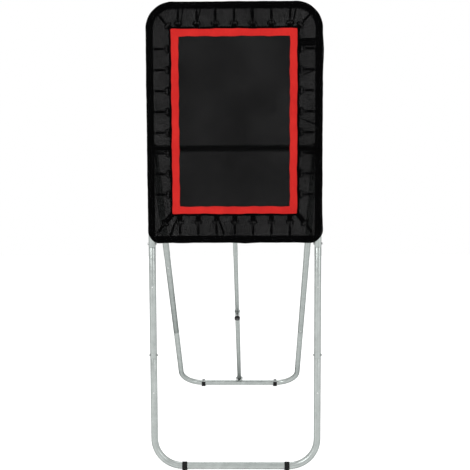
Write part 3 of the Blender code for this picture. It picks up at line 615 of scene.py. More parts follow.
PLASTIC = moulded_material("knob_plastic", (0.006, 0.006, 0.007), (0.018, 0.018, 0.019), (0.32, 0.48), 1400.0)
CAP = moulded_material("knob_cap", (0.06, 0.065, 0.065), (0.12, 0.125, 0.125), (0.35, 0.5), 1400.0)


# Tubes of both frames

def spigot_shape(seam):
    """Share of the tube's radius: reduced past the seam, where it plugs into the next tube."""
    def share(point):
        past = point.z - seam
        return SPIGOT / TUBE_RADIUS if past > -0.0001 else 0.955 if past > -0.0008 else 1.0
    return share


def front_point(x, z):
    return at(x, FRONT_Y, z)


def make_arch():
    start = UPPER_SEAM + FIT
    points = [front_point(-SIDE_X, start), front_point(-SIDE_X, FRAME_TOP),
              front_point(SIDE_X, FRAME_TOP), front_point(SIDE_X, start)]
    dress(make_tube("arch_tube", points, bend=ARCH_BEND), TUBE, FRONT, "front_arch_tube")


def add_button(tube, mark, name, body, place=None):
    """Round dimple in a tube's front, with a domed snap button that stands out of it."""
    centre = mark + TUBE_RADIUS * FORWARD
    for vert in tube.data.vertices:
        offset = vert.co - centre
        out = offset.dot(FORWARD)
        reach = (offset - out * FORWARD).length
        if reach < DIMPLE_RADIUS and out > -0.004:
            vert.co -= FORWARD * DIMPLE_DEPTH * cos(reach / DIMPLE_RADIUS * pi / 2) ** 2
    tube.data.update()
    button = make_head(name, 0.0, BUTTON_RADIUS, BUTTON_RISE, 20)
    seat = mark + at(y=DIMPLE_DEPTH - TUBE_RADIUS)
    smooth(settle(button, Matrix.Translation(seat) @ turned(-pi / 2, "Z")), 60)
    dress(settle(button, place), BUTTON, body)


def dense_points(start, end, marks, half=0.004, steps=8):
    """Points from start to end, closer together round some marks along the way."""
    line = end - start
    places = {0.0, 1.0}
    for mark in marks:
        share = (mark - start).dot(line) / line.length_squared
        for i in range(-steps, steps + 1):
            places.add(share + i / steps * half / line.length)
    return [start + share * line for share in sorted(places)]


def make_front_leg(side, word):
    x = side * SIDE_X
    mark = front_point(x, UPPER_SEAM - LEG_BUTTON)
    seam = UPPER_SEAM - FIT
    points = dense_points(front_point(x, LOWER_SEAM), front_point(x, seam - 0.002), [mark])
    points += [front_point(x, z) for z in (seam - 0.0005, seam, seam + SPIGOT_LENGTH)]
    tube = make_tube("leg_tube_" + word, points, shape=spigot_shape(seam))
    add_button(tube, mark, "leg_button_" + word, FRONT)
    dress(tube, TUBE, FRONT, "front_leg_" + word)


def bend_corner(before, corner, after, radius):
    """Points of a round bend that replaces a corner."""
    first = (before - corner).normalized()
    second = (after - corner).normalized()
    half = first.angle(second) / 2
    reach = radius * cos(half) / sin(half)
    centre = corner + (first + second).normalized() * radius / sin(half)
    start = corner + first * reach - centre
    end = corner + second * reach - centre
    total = start.angle(end)
    points = []
    for i in range(BEND_STEPS + 1):
        angle = total * i / BEND_STEPS
        points.append(centre + (start * sin(total - angle) + end * sin(angle)) / sin(total))
    return points


def make_foot_tube(name, half, bar, seam, depth, marks=()):
    """U of tube in the XZ plane, from one plugged end to the other."""
    heights = [seam + SPIGOT_LENGTH, seam, seam - 0.0005, seam - 0.002]
    left = [at(-half, depth, z) for z in heights]
    right = [at(half, depth, z) for z in reversed(heights)]
    low_left, low_right = at(-half, depth, bar), at(half, depth, bar)
    rise = at(z=BEND)
    points = left[:-1]
    points += dense_points(left[-1], low_left + rise, [at(-half, depth, z) for z in marks])[:-1]
    points += bend_corner(left[-1], low_left, low_right, BEND)
    points += bend_corner(low_left, low_right, right[0], BEND)
    points += dense_points(low_right + rise, right[0], [at(half, depth, z) for z in marks])[1:-1]
    return make_tube(name, points + right, shape=spigot_shape(seam))


def make_front_foot_tube():
    height = LOWER_SEAM - FOOT_BUTTON
    tube = make_foot_tube("foot_tube_front", SIDE_X, BAR_HEIGHT, LOWER_SEAM - FIT, FRONT_Y, [height])
    for side, word in SIDES:
        add_button(tube, front_point(side * SIDE_X, height), "foot_button_" + word, FRONT)
    dress(tube, TUBE, FRONT, "front_foot_tube")


def make_plate(name, side, inner, outline, corner, hole=None, slot=None):
    """Steel plate across X from an outline in the YZ plane, with rounded corners."""
    low, high = sorted((side * inner, side * (inner + PLATE)))
    item = add_mesh(name, [(low, y, z) for y, z in outline], faces=[range(len(outline))])
    open_mesh(item, action="SELECT")
    bpy.ops.mesh.bevel(offset=corner, segments=5, affect="VERTICES")
    bpy.ops.mesh.select_all(action="SELECT")
    move_open((high - low, 0.0, 0.0))
    close_mesh()
    mend_normals(item)
    before, after = low - 0.004, high + 0.004
    if hole:
        cut(item, add_rod("hole", (before, *hole), (after, *hole), HOLE_RADIUS))
    if slot:
        cut(item, add_box("slot", (before, *slot[0]), (after, *slot[1])))
    return smooth(round_edges(item, 0.0004))


def make_ears():
    """Pivot ears behind the side tubes, with their weld beads."""
    plates = []
    reach, steps = 0.0138, 12
    inner = LEG_X + TUBE_RADIUS + PLATE_ROOM
    root, tip = FRONT_Y + TUBE_RADIUS - WELD_DEPTH, PIVOT.y + reach
    low, high = PIVOT.z - reach, PIVOT.z + reach
    outline = [(root, low), (tip, low), (tip, high), (root, high)]
    for side, _ in SIDES:
        plates.append(make_plate("ear", side, inner, outline, 0.0001, hole=(PIVOT.y, PIVOT.z)))
        start = at(side * (inner - 0.0006), root + 0.0030, PIVOT.z - 0.9 * reach)
        plates.append(make_bead(start, 1.8 * reach / steps * UP, steps + 1, 0.0013))
    dress(merge_pieces(plates, "pivot_ears"), TUBE, FRONT)


def make_cross_tube():
    """Cross tube, and the fork behind it that holds the strut's upper pin."""
    half = CROSS_HIGH.x
    tube = make_tube("cross_tube", [front_point(-half, CROSS_HEIGHT), front_point(half, CROSS_HEIGHT)])
    dress(tube, TUBE, FRONT, "front_cross_tube")
    root, tip = FRONT_Y + TUBE_RADIUS - WELD_DEPTH, CROSS_HIGH.y
    low, high = CROSS_LOW.z, CROSS_HIGH.z
    outline = [(root, low), (tip, low), (tip, high), (root, high)]
    slot = ((STRUT_TOP.y - 0.0050, STRUT_TOP.z - 0.0034), (STRUT_TOP.y + 0.0080, high - 0.0050))
    pieces = []
    for side, _ in SIDES:
        pieces.append(make_plate("fork", side, FORK_INNER, outline, 0.0012, slot=slot))
        start = at(side * (FORK_INNER + PLATE + BEAD_RISE), root + 0.0024, CROSS_HEIGHT - 0.0095)
        pieces.append(make_bead(start, 0.0019 * UP, 11, 0.0010))
    dress(merge_pieces(pieces, "strut_fork"), TUBE, FRONT)


# Screws and bolts, modelled along +X with the head at the high end

def make_head(name, start, radius, height, sides=32):
    """Domed head: a disc drawn in and up in steps."""
    deselect()
    bpy.ops.mesh.primitive_circle_add(vertices=sides, radius=radius, fill_type="NGON",
                                      location=(start, 0.0, 0.0), rotation=(0.0, pi / 2, 0.0))
    item = settle(name_piece(name))
    open_mesh(item, "FACE", "SELECT")
    steps = 5
    angles = [i / steps * pi / 2 for i in range(steps + 1)]
    for angle, after in zip(angles, angles[1:]):
        move_open((height * (sin(after) - sin(angle)), 0.0, 0.0))
        share = cos(after * 0.86) / cos(angle * 0.86)
        bm = bmesh.from_edit_mesh(item.data)
        for vert in bm.verts:
            if vert.select:
                vert.co.y *= share
                vert.co.z *= share
        bmesh.update_edit_mesh(item.data)
    close_mesh()
    return mend_normals(item)


def cut_cross(item, x, width, length, depth):
    """Cut a cross recess into a head."""
    for y, z in ((width / 2, length / 2), (length / 2, width / 2)):
        cut(item, add_box("recess", (x - depth, -y, -z), (x + 0.002, y, z)))


def make_nut(start, end, radius, bore):
    deselect()
    bpy.ops.mesh.primitive_cylinder_add(vertices=6, radius=radius, depth=end - start,
                                        location=((start + end) / 2, 0.0, 0.0), rotation=(0.0, pi / 2, 0.0))
    item = settle(name_piece("nut"))
    cut(item, add_rod("bore", (start - 0.001, 0.0, 0.0), (end + 0.001, 0.0, 0.0), bore, 16))
    return round_edges(item, 0.0003, 2, 40)


def make_bolt(name, shank, grip, head, nut, cross=True):
    """Bolt through a grip, with a domed head, a washer under it and a nut."""
    start, end = grip
    head_radius, head_height = head
    nut_radius, nut_height = nut
    tip = start - nut_height - 0.0006
    rod = add_rod("shank", (tip, 0.0, 0.0), (end + 0.0002, 0.0, 0.0), shank, 20)
    dome = make_head("head", end + 0.0006, 0.88 * head_radius, head_height - 0.0006)
    if cross:
        cut_cross(dome, end + head_height, 0.0011, 1.05 * head_radius, 0.0018)
    washer = round_edges(add_rod("washer", (end, 0.0, 0.0), (end + 0.0008, 0.0, 0.0), head_radius), 0.0002)
    ring = make_nut(start - nut_height, start, nut_radius, 0.96 * shank)
    return smooth(merge_pieces([rod, dome, washer, ring], name), 35)


def facing(side):
    """Half turn for the left side, so that a bolt's head looks outwards on both."""
    return turned(0.0 if side > 0 else pi, "Z")


def make_joint_screws():
    seat = TUBE_RADIUS + FIT
    model = make_bolt("screw_model", 0.0025, (-seat, seat), (0.005, 0.0055), (0.005, 0.004))
    for side, word in SIDES:
        for level, roll in (("upper", 17), ("lower", 52)):
            node = f"joint_screw_{word}_{level}"
            place = Matrix.Translation(front_point(side * SIDE_X, middle(node).z))
            place = place @ facing(side) @ turned(radians(roll), "X")
            dress(copy_piece(model, f"screw_{word}_{level}", place), ZINC, FRONT, node)
    bpy.data.objects.remove(model)


# Panel fabric

def rounded_loop(half, low, high, top_radius, low_radius, corner_steps=10, side_steps=(40, 28)):
    """Points and outward directions round a rectangle, starting at the bottom right corner."""
    def arc(cx, cz, radius, start):
        result = []
        for i in range(corner_steps + 1):
            angle = start + pi / 2 * i / corner_steps
            direction = at(cos(angle), 0.0, sin(angle))
            result.append((at(cx, 0.0, cz) + radius * direction, direction))
        return result

    corners = [
        arc(half - low_radius, low + low_radius, low_radius, -pi / 2),
        arc(half - top_radius, high - top_radius, top_radius, 0.0),
        arc(top_radius - half, high - top_radius, top_radius, pi / 2),
        arc(low_radius - half, low + low_radius, low_radius, pi),
    ]
    loop = []
    for i, corner in enumerate(corners):
        loop += corner
        end, direction = corner[-1]
        start = corners[(i + 1) % 4][0][0]
        steps = side_steps[i % 2]
        loop += [(end.lerp(start, k / steps), direction) for k in range(1, steps)]
    return loop + loop[:1]


def path_lengths(stations):
    """Distance along a path at each of its stations."""
    lengths = [0.0]
    for (a, _), (b, _) in zip(stations, stations[1:]):
        lengths.append(lengths[-1] + (b - a).length)
    return lengths


def ripple(distance, seed, *waves):
    """Sum of a few sine waves along a loop, each a wavelength and a height."""
    return sum(height * sin(2 * pi * distance / length + seed + 2.1 * i)
               for i, (length, height) in enumerate(waves))


def make_net():
    """Net bed, bowed a little to the back."""
    inset = 0.0015
    width = 2 * NET_HALF - 2 * inset
    height = NET_HIGH.z - NET_LOW.z - 2 * inset

    def place(u, v):
        away = 0.0006 * sin(pi * u) * sin(pi * v)
        swell = 0.00025 * sin(41 * u + 3.0) * sin(53 * v)
        return at((u - 0.5) * width, FRONT_Y + away + swell, NET_LOW.z + inset + v * height)

    net = face_forward(shape_grid("net_bed", 96, 136, place))
    return dress(thicken(net, 0.0008, 0.0), NET, FRONT, "rebound_net")


def ring_sheet(name, loop, profile, rows):
    """Sheet round a loop, its points given by profile(i, v)."""
    columns = len(loop) - 1
    return shape_grid(name, columns, rows, lambda u, v: profile(min(columns, round(u * columns)), v), True)


def make_hem():
    """Folded hem round the net, front and back joined over its edge."""
    outer = rounded_loop(NET_HALF, NET_LOW.z, NET_HIGH.z, 0.012, 0.012)
    lengths = path_lengths(outer)
    fold = 0.25

    def profile(i, v):
        point, direction = outer[i]
        across = abs(2 * v - 1)
        side = 1 if v > 0.5 else -1
        if across > fold:
            inward = HEM_HALF + (across - fold) / (1 - fold) * (HEM_DEPTH - HEM_HALF)
            rise = HEM_HALF * (0.55 if across > 0.9 else 1.0)
        else:
            angle = across / fold * pi / 2
            inward = HEM_HALF * (1 - cos(angle))
            rise = HEM_HALF * sin(angle)
        edge = ripple(lengths[i], 0.4, (0.071, 0.0004), (0.19, 0.0003))
        return point - direction * (inward + edge * across) + at(y=FRONT_Y + side * rise)

    hem = mend_normals(ring_sheet("net_hem", outer, profile, 18))
    return dress(thicken(hem, 0.0004), HEM, FRONT)


def make_band():
    """Red target band, its edges slightly wavy, rolled at both edges."""
    def loop(inset, corner):
        return rounded_loop(BAND_HIGH.x - inset, BAND_LOW.z + inset, BAND_HIGH.z - inset,
                            corner, corner, 6, (60, 42))

    outer, inner = loop(0.0, 0.005), loop(BAND_WIDTH, 0.0025)
    lengths = path_lengths(outer)
    wave_in = 0.0007

    def profile(i, v):
        distance = lengths[i]
        out_point, out_direction = outer[i]
        in_point, in_direction = inner[i]
        out_wave = ripple(distance, 1.3, (0.088, 0.0006), (0.23, 0.0007), (0.041, 0.00025))
        in_wave = ripple(distance, 4.0, (0.079, 0.0007), (0.21, 0.0006), (0.046, 0.00025))
        out_point = out_point - out_direction * (wave_in + out_wave)
        in_point = in_point + in_direction * (wave_in + in_wave)
        crown = 1.0 - (2 * v - 1) ** 8
        pucker = 0.00012 * sin(2 * pi * distance / STITCH_PITCH) * (1 if 0.06 < v < 0.94 else 0)
        return out_point.lerp(in_point, v) + at(y=BAND_HIGH.y - BAND_CLOTH - 0.00055 * crown + pucker)

    band = face_forward(ring_sheet("red_band", outer, profile, 16))
    return dress(thicken(band, BAND_CLOTH), BAND, FRONT, "target_band")


def make_stitch_rows(name, runs, front, material):
    """Rows of short stitches along straight runs, one model copied by an array on each."""
    rows = []
    for start, end in runs:
        line = end - start
        step = line.normalized() * STITCH_PITCH
        deselect()
        bpy.ops.mesh.primitive_uv_sphere_add(segments=6, ring_count=5, radius=1.0)
        stitch = name_piece("stitch")
        turn = turned(atan2(line.z, line.x), "Y").inverted()
        stitch.scale = (0.36 * STITCH_PITCH, 0.00025, 0.00032)
        bpy.ops.object.transform_apply()
        settle(stitch, Matrix.Translation(at(start.x, front, start.z) + step / 2) @ turn)
        rows.append(apply_modifier(stitch, "ARRAY", count=int(line.length / STITCH_PITCH),
                                   use_relative_offset=False, use_constant_offset=True,
                                   constant_offset_displace=step, use_merge_vertices=False))
    return dress(smooth(merge_pieces(rows, name), 80), material, FRONT)


def square_runs(half, low, high):
    """The four sides of a square in the panel's plane."""
    corners = [at(x, 0.0, z) for x, z in ((-half, low), (half, low), (half, high), (-half, high))]
    return [(corners[i], corners[(i + 1) % 4]) for i in range(4)]


def corner_share(path, direction):
    """Share of a lower corner, where the cover lies flat in front of the leg that leaves it."""
    if path.z > CROSS_HEIGHT + LOWER_CORNER or direction.z > -0.001:
        return 0.0
    angle = degrees(atan2(-direction.z, abs(direction.x)))
    return min(min(1.0, max(0.0, edge / 14.0)) for edge in (angle - 3.0, 88.0 - angle))


def side_slack(path, direction):
    """How far the cover stands off the side tubes: slack down the right, drawn in at the upper left."""
    def hump(height, half):
        return exp(-((path.z - height) / half) ** 2)

    if direction.x < 0:
        return -0.0004 * hump(FRAME_TOP - 0.115, 0.045) * direction.x ** 2
    straight = min(1.0, max(0.0, (FRAME_TOP - ARCH_BEND - path.z) / 0.06))
    humps = 0.0034 * hump(FRAME_TOP - 0.172, 0.06) + 0.0030 * hump(CROSS_HEIGHT + 0.036, 0.05)
    return (0.0013 + humps) * straight * direction.x ** 2


def make_cover():
    """Mesh cover: from the hem out to the tubes and round their front and outside."""
    outer = rounded_loop(SIDE_X, CROSS_HEIGHT, FRAME_TOP, ARCH_BEND, LOWER_CORNER, COVER_CORNER_STEPS)
    inner = rounded_loop(NET_HALF - COVER_EDGE, NET_LOW.z + COVER_EDGE, NET_HIGH.z - COVER_EDGE,
                         0.006, 0.006, COVER_CORNER_STEPS)
    lengths = path_lengths(outer)
    flat_rows, wrap_rows = 14, 14
    rows = flat_rows + wrap_rows

    def profile(i, v):
        step = round(v * rows)
        path, direction = outer[i]
        distance = lengths[i]
        low_side = max(0.0, -direction.z) ** 2
        loose = ripple(distance, 0.7, (0.118, 0.0006), (0.31, 0.0007)) * (0.5 + 1.6 * low_side)
        radius = WRAP_RADIUS + FIT + max(-0.0002, loose) + side_slack(path, direction)
        if step <= flat_rows:
            share = step / flat_rows
            start = inner[i][0] + at(y=COVER_BACK - 0.0006)
            end = path + at(y=FRONT_Y - radius)
            sag = 0.0008 * sin(pi * share)
            crease = 0.00045 * sin(pi * share) * ripple(distance, 2.0, (0.036, 1.0), (0.083, 0.6))
            return start.lerp(end, share) + at(y=-0.0002 + min(0.0004, sag * 0.3 + crease))
        angle = (step - flat_rows) / wrap_rows * WRAP_END
        flat = corner_share(path, direction)
        reach = radius + 0.00025 * ripple(distance, 5.0, (0.043, 1.0), (0.019, 0.5)) * sin(angle)
        depth = (1.0 - flat) * cos(angle) + flat * (1.0 - 0.09 * (1.0 - cos(angle)))
        return path + direction * reach * sin(angle) + at(y=FRONT_Y - reach * depth)

    cover = face_forward(ring_sheet("mesh_cover", outer, profile, rows))
    area = sum(face.area for face in cover.data.polygons)
    return dress(thicken(cover, 0.0005), COVER, FRONT, "spring_cover"), area


def sleeve_path(kind):
    """Centre line of a sleeve, with the inward direction at each point."""
    if kind == "lower":
        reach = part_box("frame_sleeve_lower")[1].x
        count = 60
        return [(front_point(-reach + 2 * reach * i / count, CROSS_HEIGHT), UP) for i in range(count + 1)]
    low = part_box("frame_sleeve_upper")[0].z + 0.010
    side_runs, bend_runs, top_runs = 46, 14, 28
    stations = [(front_point(-SIDE_X, low + (FRAME_TOP - ARCH_BEND - low) * i / side_runs), at(x=1.0))
                for i in range(side_runs)]
    centre = front_point(-SIDE_X + ARCH_BEND, FRAME_TOP - ARCH_BEND)
    for i in range(bend_runs + 1):
        angle = pi - pi / 2 * i / bend_runs
        out = at(cos(angle), 0.0, sin(angle))
        stations.append((centre + ARCH_BEND * out, -out))
    left = list(stations)
    for i in range(1, top_runs):
        x = (SIDE_X - ARCH_BEND) * (2 * i / top_runs - 1)
        stations.append((front_point(x, FRAME_TOP), -UP))
    return stations + [(at(-p.x, p.y, p.z), at(-n.x, n.y, n.z)) for p, n in reversed(left)]


def make_sleeve(kind, notches):
    """Fabric sleeve wrapped round the tubes, open along the inside of the frame."""
    stations = sleeve_path(kind)
    columns = len(stations) - 1
    lengths = path_lengths(stations)
    turn = 2 * pi - 2 * SLEEVE_OPENING

    def place(u, v):
        i = min(columns, round(u * columns))
        point, inward = stations[i]
        angle = SLEEVE_OPENING + v * turn
        wrinkle = 0.0001 * ripple(lengths[i] + 0.01 * v, 1.0, (0.027, 1.0), (0.061, 0.8)) * sin(pi * v)
        reach = SLEEVE_OUTER - 0.0001 + min(0.0001, wrinkle)
        return point + reach * (cos(angle) * inward + sin(angle) * BACK)

    sleeve = shape_grid("fabric_sleeve_" + kind, columns, 40, place)
    if sum(face.normal.y * (face.center.y - FRONT_Y) for face in sleeve.data.polygons) < 0:
        flip_faces(sleeve)
    thicken(sleeve, 0.0007)
    for low, high in notches:
        cut(sleeve, add_box("notch", low, high))
    dress(smooth(sleeve, 50), SLEEVE, FRONT, "frame_sleeve_" + kind)
    return sleeve, (SLEEVE_OUTER * turn, lengths[-1])


def make_fabric():
    net, hem, band = make_net(), make_hem(), make_band()
    cover, cover_area = make_cover()
    rows = []
    for inset in (SEAM_MARGIN, BAND_WIDTH - SEAM_MARGIN):
        rows += square_runs(BAND_HIGH.x - inset, BAND_LOW.z + inset, BAND_HIGH.z - inset)
    stitches = make_stitch_rows("band_stitches", rows, BAND_LOW.y + 0.0002, THREAD)
    rows = square_runs(NET_HALF - HEM_SEAM, NET_LOW.z + HEM_SEAM, NET_HIGH.z - HEM_SEAM)
    hem_stitches = make_stitch_rows("hem_stitches", rows, FRONT_Y + 0.0017, HEM)

    ear, seat, fork_half = 0.0150, LEG_X + TUBE_RADIUS, FORK_INNER + PLATE + FIT
    notches = []
    for side, _ in SIDES:
        near, far = sorted((side * seat, side * (seat + 0.0040)))
        notches.append(((near, FRONT_Y + 0.005, PIVOT.z - ear), (far, FRONT_Y + 0.03, PIVOT.z + ear)))
    fork = ((-fork_half, FRONT_Y + 0.004, CROSS_HEIGHT - 0.03),
            (fork_half, FRONT_Y + 0.03, CROSS_HEIGHT + 0.03))
    upper, upper_flat = make_sleeve("upper", notches)
    lower, lower_flat = make_sleeve("lower", [fork])


# Springs, rings and their eyes on the frame

def make_spring(name, length):
    """Spring along +Z from the net's edge: close-wound coil with a hooked end at each side."""
    start = length - COIL_LEAD - COIL_LENGTH
    deselect()
    bpy.ops.mesh.primitive_circle_add(vertices=8, radius=WIRE, fill_type="NOTHING",
                                      location=(COIL, 0.0, start), rotation=(pi / 2, 0.0, 0.0))
    item = settle(name_piece(name))
    apply_modifier(item, "SCREW", axis="Z", angle=2 * pi, screw_offset=COIL_LENGTH / COIL_TURNS,
                   iterations=COIL_TURNS, steps=16, render_steps=16, use_merge_vertices=False)
    middle_z = start + COIL_LENGTH / 2
    for end, sign, hook in ((start, -1, INNER_HOOK), (start + COIL_LENGTH, 1, HOOK)):
        open_mesh(item, "EDGE")
        bpy.ops.mesh.select_non_manifold()
        bm = bmesh.from_edit_mesh(item.data)
        for edge in bm.edges:
            point = edge.verts[0].co
            if edge.select and ((point.z - middle_z) * sign < 0 or abs(point.x - COIL) > 2 * WIRE):
                edge.select_set(False)
        bm.select_flush_mode()
        bmesh.update_edit_mesh(item.data)
        bpy.ops.mesh.spin(steps=8, angle=-sign * pi, center=(COIL / 2, 0.0, end), axis=(0.0, 0.0, 1.0))
        bpy.ops.mesh.spin(steps=20, angle=radians(-325), center=(0.0, 0.0, end + sign * hook),
                          axis=(-1.0, 0.0, 0.0))
        bpy.ops.mesh.edge_face_add()
        close_mesh()
    return smooth(mend_normals(item), 60)


def make_ring(name, height):
    """Flat ring in the XZ plane: straight base along the hem, low arch towards the frame."""
    half, top_half = 0.0168, 0.0095
    points = [at(-half), at(half), at(top_half, 0.0, RING_REACH), at(-top_half, 0.0, RING_REACH)]
    ring = make_wire(name, points, RING_WIRE, bend=0.0042, sides=10, closed=True)
    return settle(ring, shift(z=height))


def make_loop(name, height):
    """Webbing loop out of the hem and round the base of a ring that lies at the given height."""
    root, turn, steps = 0.0010, RING_WIRE + 0.0004, 8
    angles = [pi * i / steps for i in range(steps + 1)]
    profile = [(-root, -0.0050), (-root, -0.0010)]
    profile += [(-turn * cos(angle), height + turn * sin(angle)) for angle in angles]
    profile += [(root, -0.0010), (root, -0.0050)]
    last = len(profile) - 1

    item = shape_grid(name, last, 2, lambda u, v: at(0.020 * (v - 0.5), *profile[round(u * last)]))
    return thicken(item, 0.0006, 0.0)


def make_eye(name, tip, root):
    """Staple on the tube that the spring's outer hook goes through."""
    half = 0.0048
    points = [at(-half, 0.0, root), at(-half, 0.0, tip), at(half, 0.0, tip), at(half, 0.0, root)]
    return make_wire(name, points, 0.0012, bend=0.0026)


def spring_frame(origin, outward):
    """Matrix whose +Z looks outwards in the panel's plane and whose +Y looks back."""
    out = outward.normalized()
    matrix = Matrix((BACK.cross(out), BACK, out)).transposed().to_4x4()
    return Matrix.Translation(origin) @ matrix


def hang_springs(gap, rows, eyes, loops):
    """Springs of one length, each with its ring, and with its eye and its webbing loop added to the lists."""
    length = min(gap, LONGEST_SPRING) - SPRING_ROOM
    # the ring's arch lies in the spring's inner hook
    height = length - COIL_LEAD - COIL_LENGTH - 2 * INNER_HOOK + RING_WIRE + WIRE - RING_REACH
    models = [make_spring("spring_model", length), make_ring("ring_model", height),
              make_eye("eye_model", length - 0.0024, gap + SPRING_ROOM), make_loop("loop_model", height)]
    spring, ring, eye, loop = models
    for word, place, *nodes in rows:
        dress(copy_piece(spring, "coil_" + word, place), SPRING, FRONT, *nodes)
        dress(copy_piece(ring, "ring_" + word, place), RING, FRONT)
        eyes.append(copy_piece(eye, "eye", place))
        loops.append(copy_piece(loop, "loop", place))
    for model in models:
        bpy.data.objects.remove(model)


def make_springs():
    eyes, loops = [], []
    side_gap = SIDE_X - TUBE_RADIUS - NET_HALF
    for edge, outward, start, gap in (
            ("left", at(x=-1.0), -NET_HALF, side_gap),
            ("right", at(x=1.0), NET_HALF, side_gap),
            ("top", UP, NET_HIGH.z, FRAME_TOP - TUBE_RADIUS - NET_HIGH.z),
            ("bottom", -UP, NET_LOW.z, NET_LOW.z - CROSS_HEIGHT - TUBE_RADIUS)):
        rows = []
        for node in sorted(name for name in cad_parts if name.startswith("spring_" + edge)):
            centre = middle(node)
            origin = front_point(start, centre.z) if outward.x else front_point(centre.x, start)
            rows.append((edge + "_" + node.rsplit("_", 1)[1], spring_frame(origin, outward), node))
        hang_springs(gap, rows, eyes, loops)
    inset = 0.0035
    bend_x, bend_z = SIDE_X - ARCH_BEND, FRAME_TOP - ARCH_BEND
    for side, word in SIDES:
        diagonal = at(side, 0.0, 1.0).normalized()
        x = side * (NET_HALF - inset)
        for level, start, target in (
                ("top", front_point(x, NET_HIGH.z - inset),
                 front_point(side * bend_x, bend_z) + diagonal * (ARCH_BEND - TUBE_RADIUS)),
                ("bottom", front_point(x, NET_LOW.z + inset),
                 front_point(side * (SIDE_X - TUBE_RADIUS), CROSS_HEIGHT + TUBE_RADIUS))):
            outward = target - start
            row = (f"corner_{level}_{word}", spring_frame(start, outward))
            hang_springs(outward.length, [row], eyes, loops)
    dress(merge_pieces(loops, "ring_loops"), HEM, FRONT)
    dress(merge_pieces(eyes, "spring_eyes"), SPRING, FRONT)


def make_ribbon(name, start, end, width, thickness=0.0007, narrow=1.0):
    """Flat strap from the net's edge to a tube, given by x and z, with one end narrowed."""
    start, end = at(start[0], FRONT_Y + 0.0065, start[1]), at(end[0], FRONT_Y + 0.0055, end[1])
    line = end - start
    across = at(line.z, 0.0, -line.x).normalized()

    def place(u, v):
        share = narrow + (1.0 - narrow) * min(1.0, u / 0.5) ** 3
        return start + line * u + across * (v - 0.5) * width * share + at(y=0.0012 * sin(pi * u))

    return thicken(face_forward(shape_grid(name, 12, 3, place)), thickness)


def make_ties():
    """Short black ties beside some springs, and one blank strap on the right side."""
    top, tube_top = NET_HIGH.z - 0.002, FRAME_TOP - TUBE_RADIUS
    low, tube_low = NET_LOW.z + 0.002, CROSS_HEIGHT + TUBE_RADIUS
    right, tube_right = NET_HALF - 0.002, SIDE_X - TUBE_RADIUS
    ties = [make_ribbon("tie", (near, top), (far, tube_top), 0.006, narrow=0.4)
            for near, far in ((-0.206, -0.196), (-0.148, -0.128), (0.075, 0.062), (0.222, 0.236))]
    ties += [make_ribbon("tie", (near, low), (far, tube_low), 0.009, narrow=0.25)
             for near, far in ((-0.222, -0.253), (-0.066, -0.042))]
    ties += [make_ribbon("tie", (right, near), (tube_right, far), 0.006, narrow=0.4)
             for near, far in ((1.552, 1.580), (1.398, 1.372), (1.281, 1.262))]
    dress(merge_pieces(ties, "net_ties"), HEM, FRONT)
    strap = make_ribbon("side_strap", (right, 1.684), (tube_right, 1.684), 0.029, 0.0010)
    dress(strap, HEM, FRONT)


# Rear frame, modelled upright from its pivot and then leaned

def make_rear_frame():
    for side, word in SIDES:
        x = side * LEG_X
        mark = at(x, 0.0, REAR_BUTTONS[word])
        points = dense_points(at(x, 0.0, FIT - REAR_SEAM), at(x, 0.0, LEG_STUB), [mark])
        tube = make_tube("rear_tube_" + word, points)
        plug = add_rod("tube_cap_" + word, (x, 0.0, LEG_STUB - 0.001), (x, 0.0, LEG_STUB + 0.0022),
                       TUBE_RADIUS - FIT)
        smooth(round_edges(plug, 0.0008, 3))
        add_button(tube, mark, "rear_button_" + word, REAR, REAR_PLACE)
        dress(settle(tube, REAR_PLACE), TUBE, REAR, "rear_leg_" + word)
        dress(settle(plug, REAR_PLACE), RUBBER, REAR)
    half = LEG_X - TUBE_RADIUS - FIT
    bar = make_tube("pivot_bar", [at(-half), at(half)])
    dress(settle(bar, REAR_PLACE), TUBE, REAR, "rear_crossbar")
    foot = make_foot_tube("foot_tube_rear", LEG_X, -REAR_LEG, -REAR_SEAM, 0.0)
    dress(settle(foot, REAR_PLACE), TUBE, REAR, "rear_foot_tube")
    make_lugs()
    make_pivot_bolts()


def make_lugs():
    """Two lugs on the rear foot tube that hold the strut's lower pin."""
    pin = REAR_PLACE.inverted() @ STRUT_FOOT
    root = -REAR_LEG + TUBE_RADIUS - WELD_DEPTH
    reach = 0.0088
    low, high, tip = pin.y - reach, pin.y + reach, pin.z + reach
    outline = [(low - 0.0040, root), (pin.y + 0.0002, root), (high, pin.z - 0.004), (high, tip),
               (low + 0.002, tip), (low - 0.0040, pin.z)]
    plates = []
    for side, _ in SIDES:
        plates.append(make_plate("lug", side, LUG_INNER, outline, 0.0016, hole=(pin.y, pin.z)))
        start = at(side * (LUG_INNER + PLATE + BEAD_RISE), low, root + 0.0026)
        plates.append(make_bead(start, 0.0011 * BACK, 10, 0.0010))
    dress(settle(merge_pieces(plates, "strut_lugs"), REAR_PLACE), TUBE, REAR)


def make_pivot_bolts():
    grip = (LEG_X - TUBE_RADIUS - FIT, LEG_X + TUBE_RADIUS + PLATE_ROOM + PLATE + FIT)
    model = make_bolt("bolt_model", 0.004, grip, (0.0075, 0.004), (0.007, 0.0058), cross=False)
    for side, word in SIDES:
        bolt = copy_piece(model, "fold_bolt_" + word, REAR_PLACE @ facing(side))
        dress(bolt, ZINC, REAR, "pivot_bolt_" + word)
    bpy.data.objects.remove(model)


# Strut, modelled upright from its lower pin and then leaned

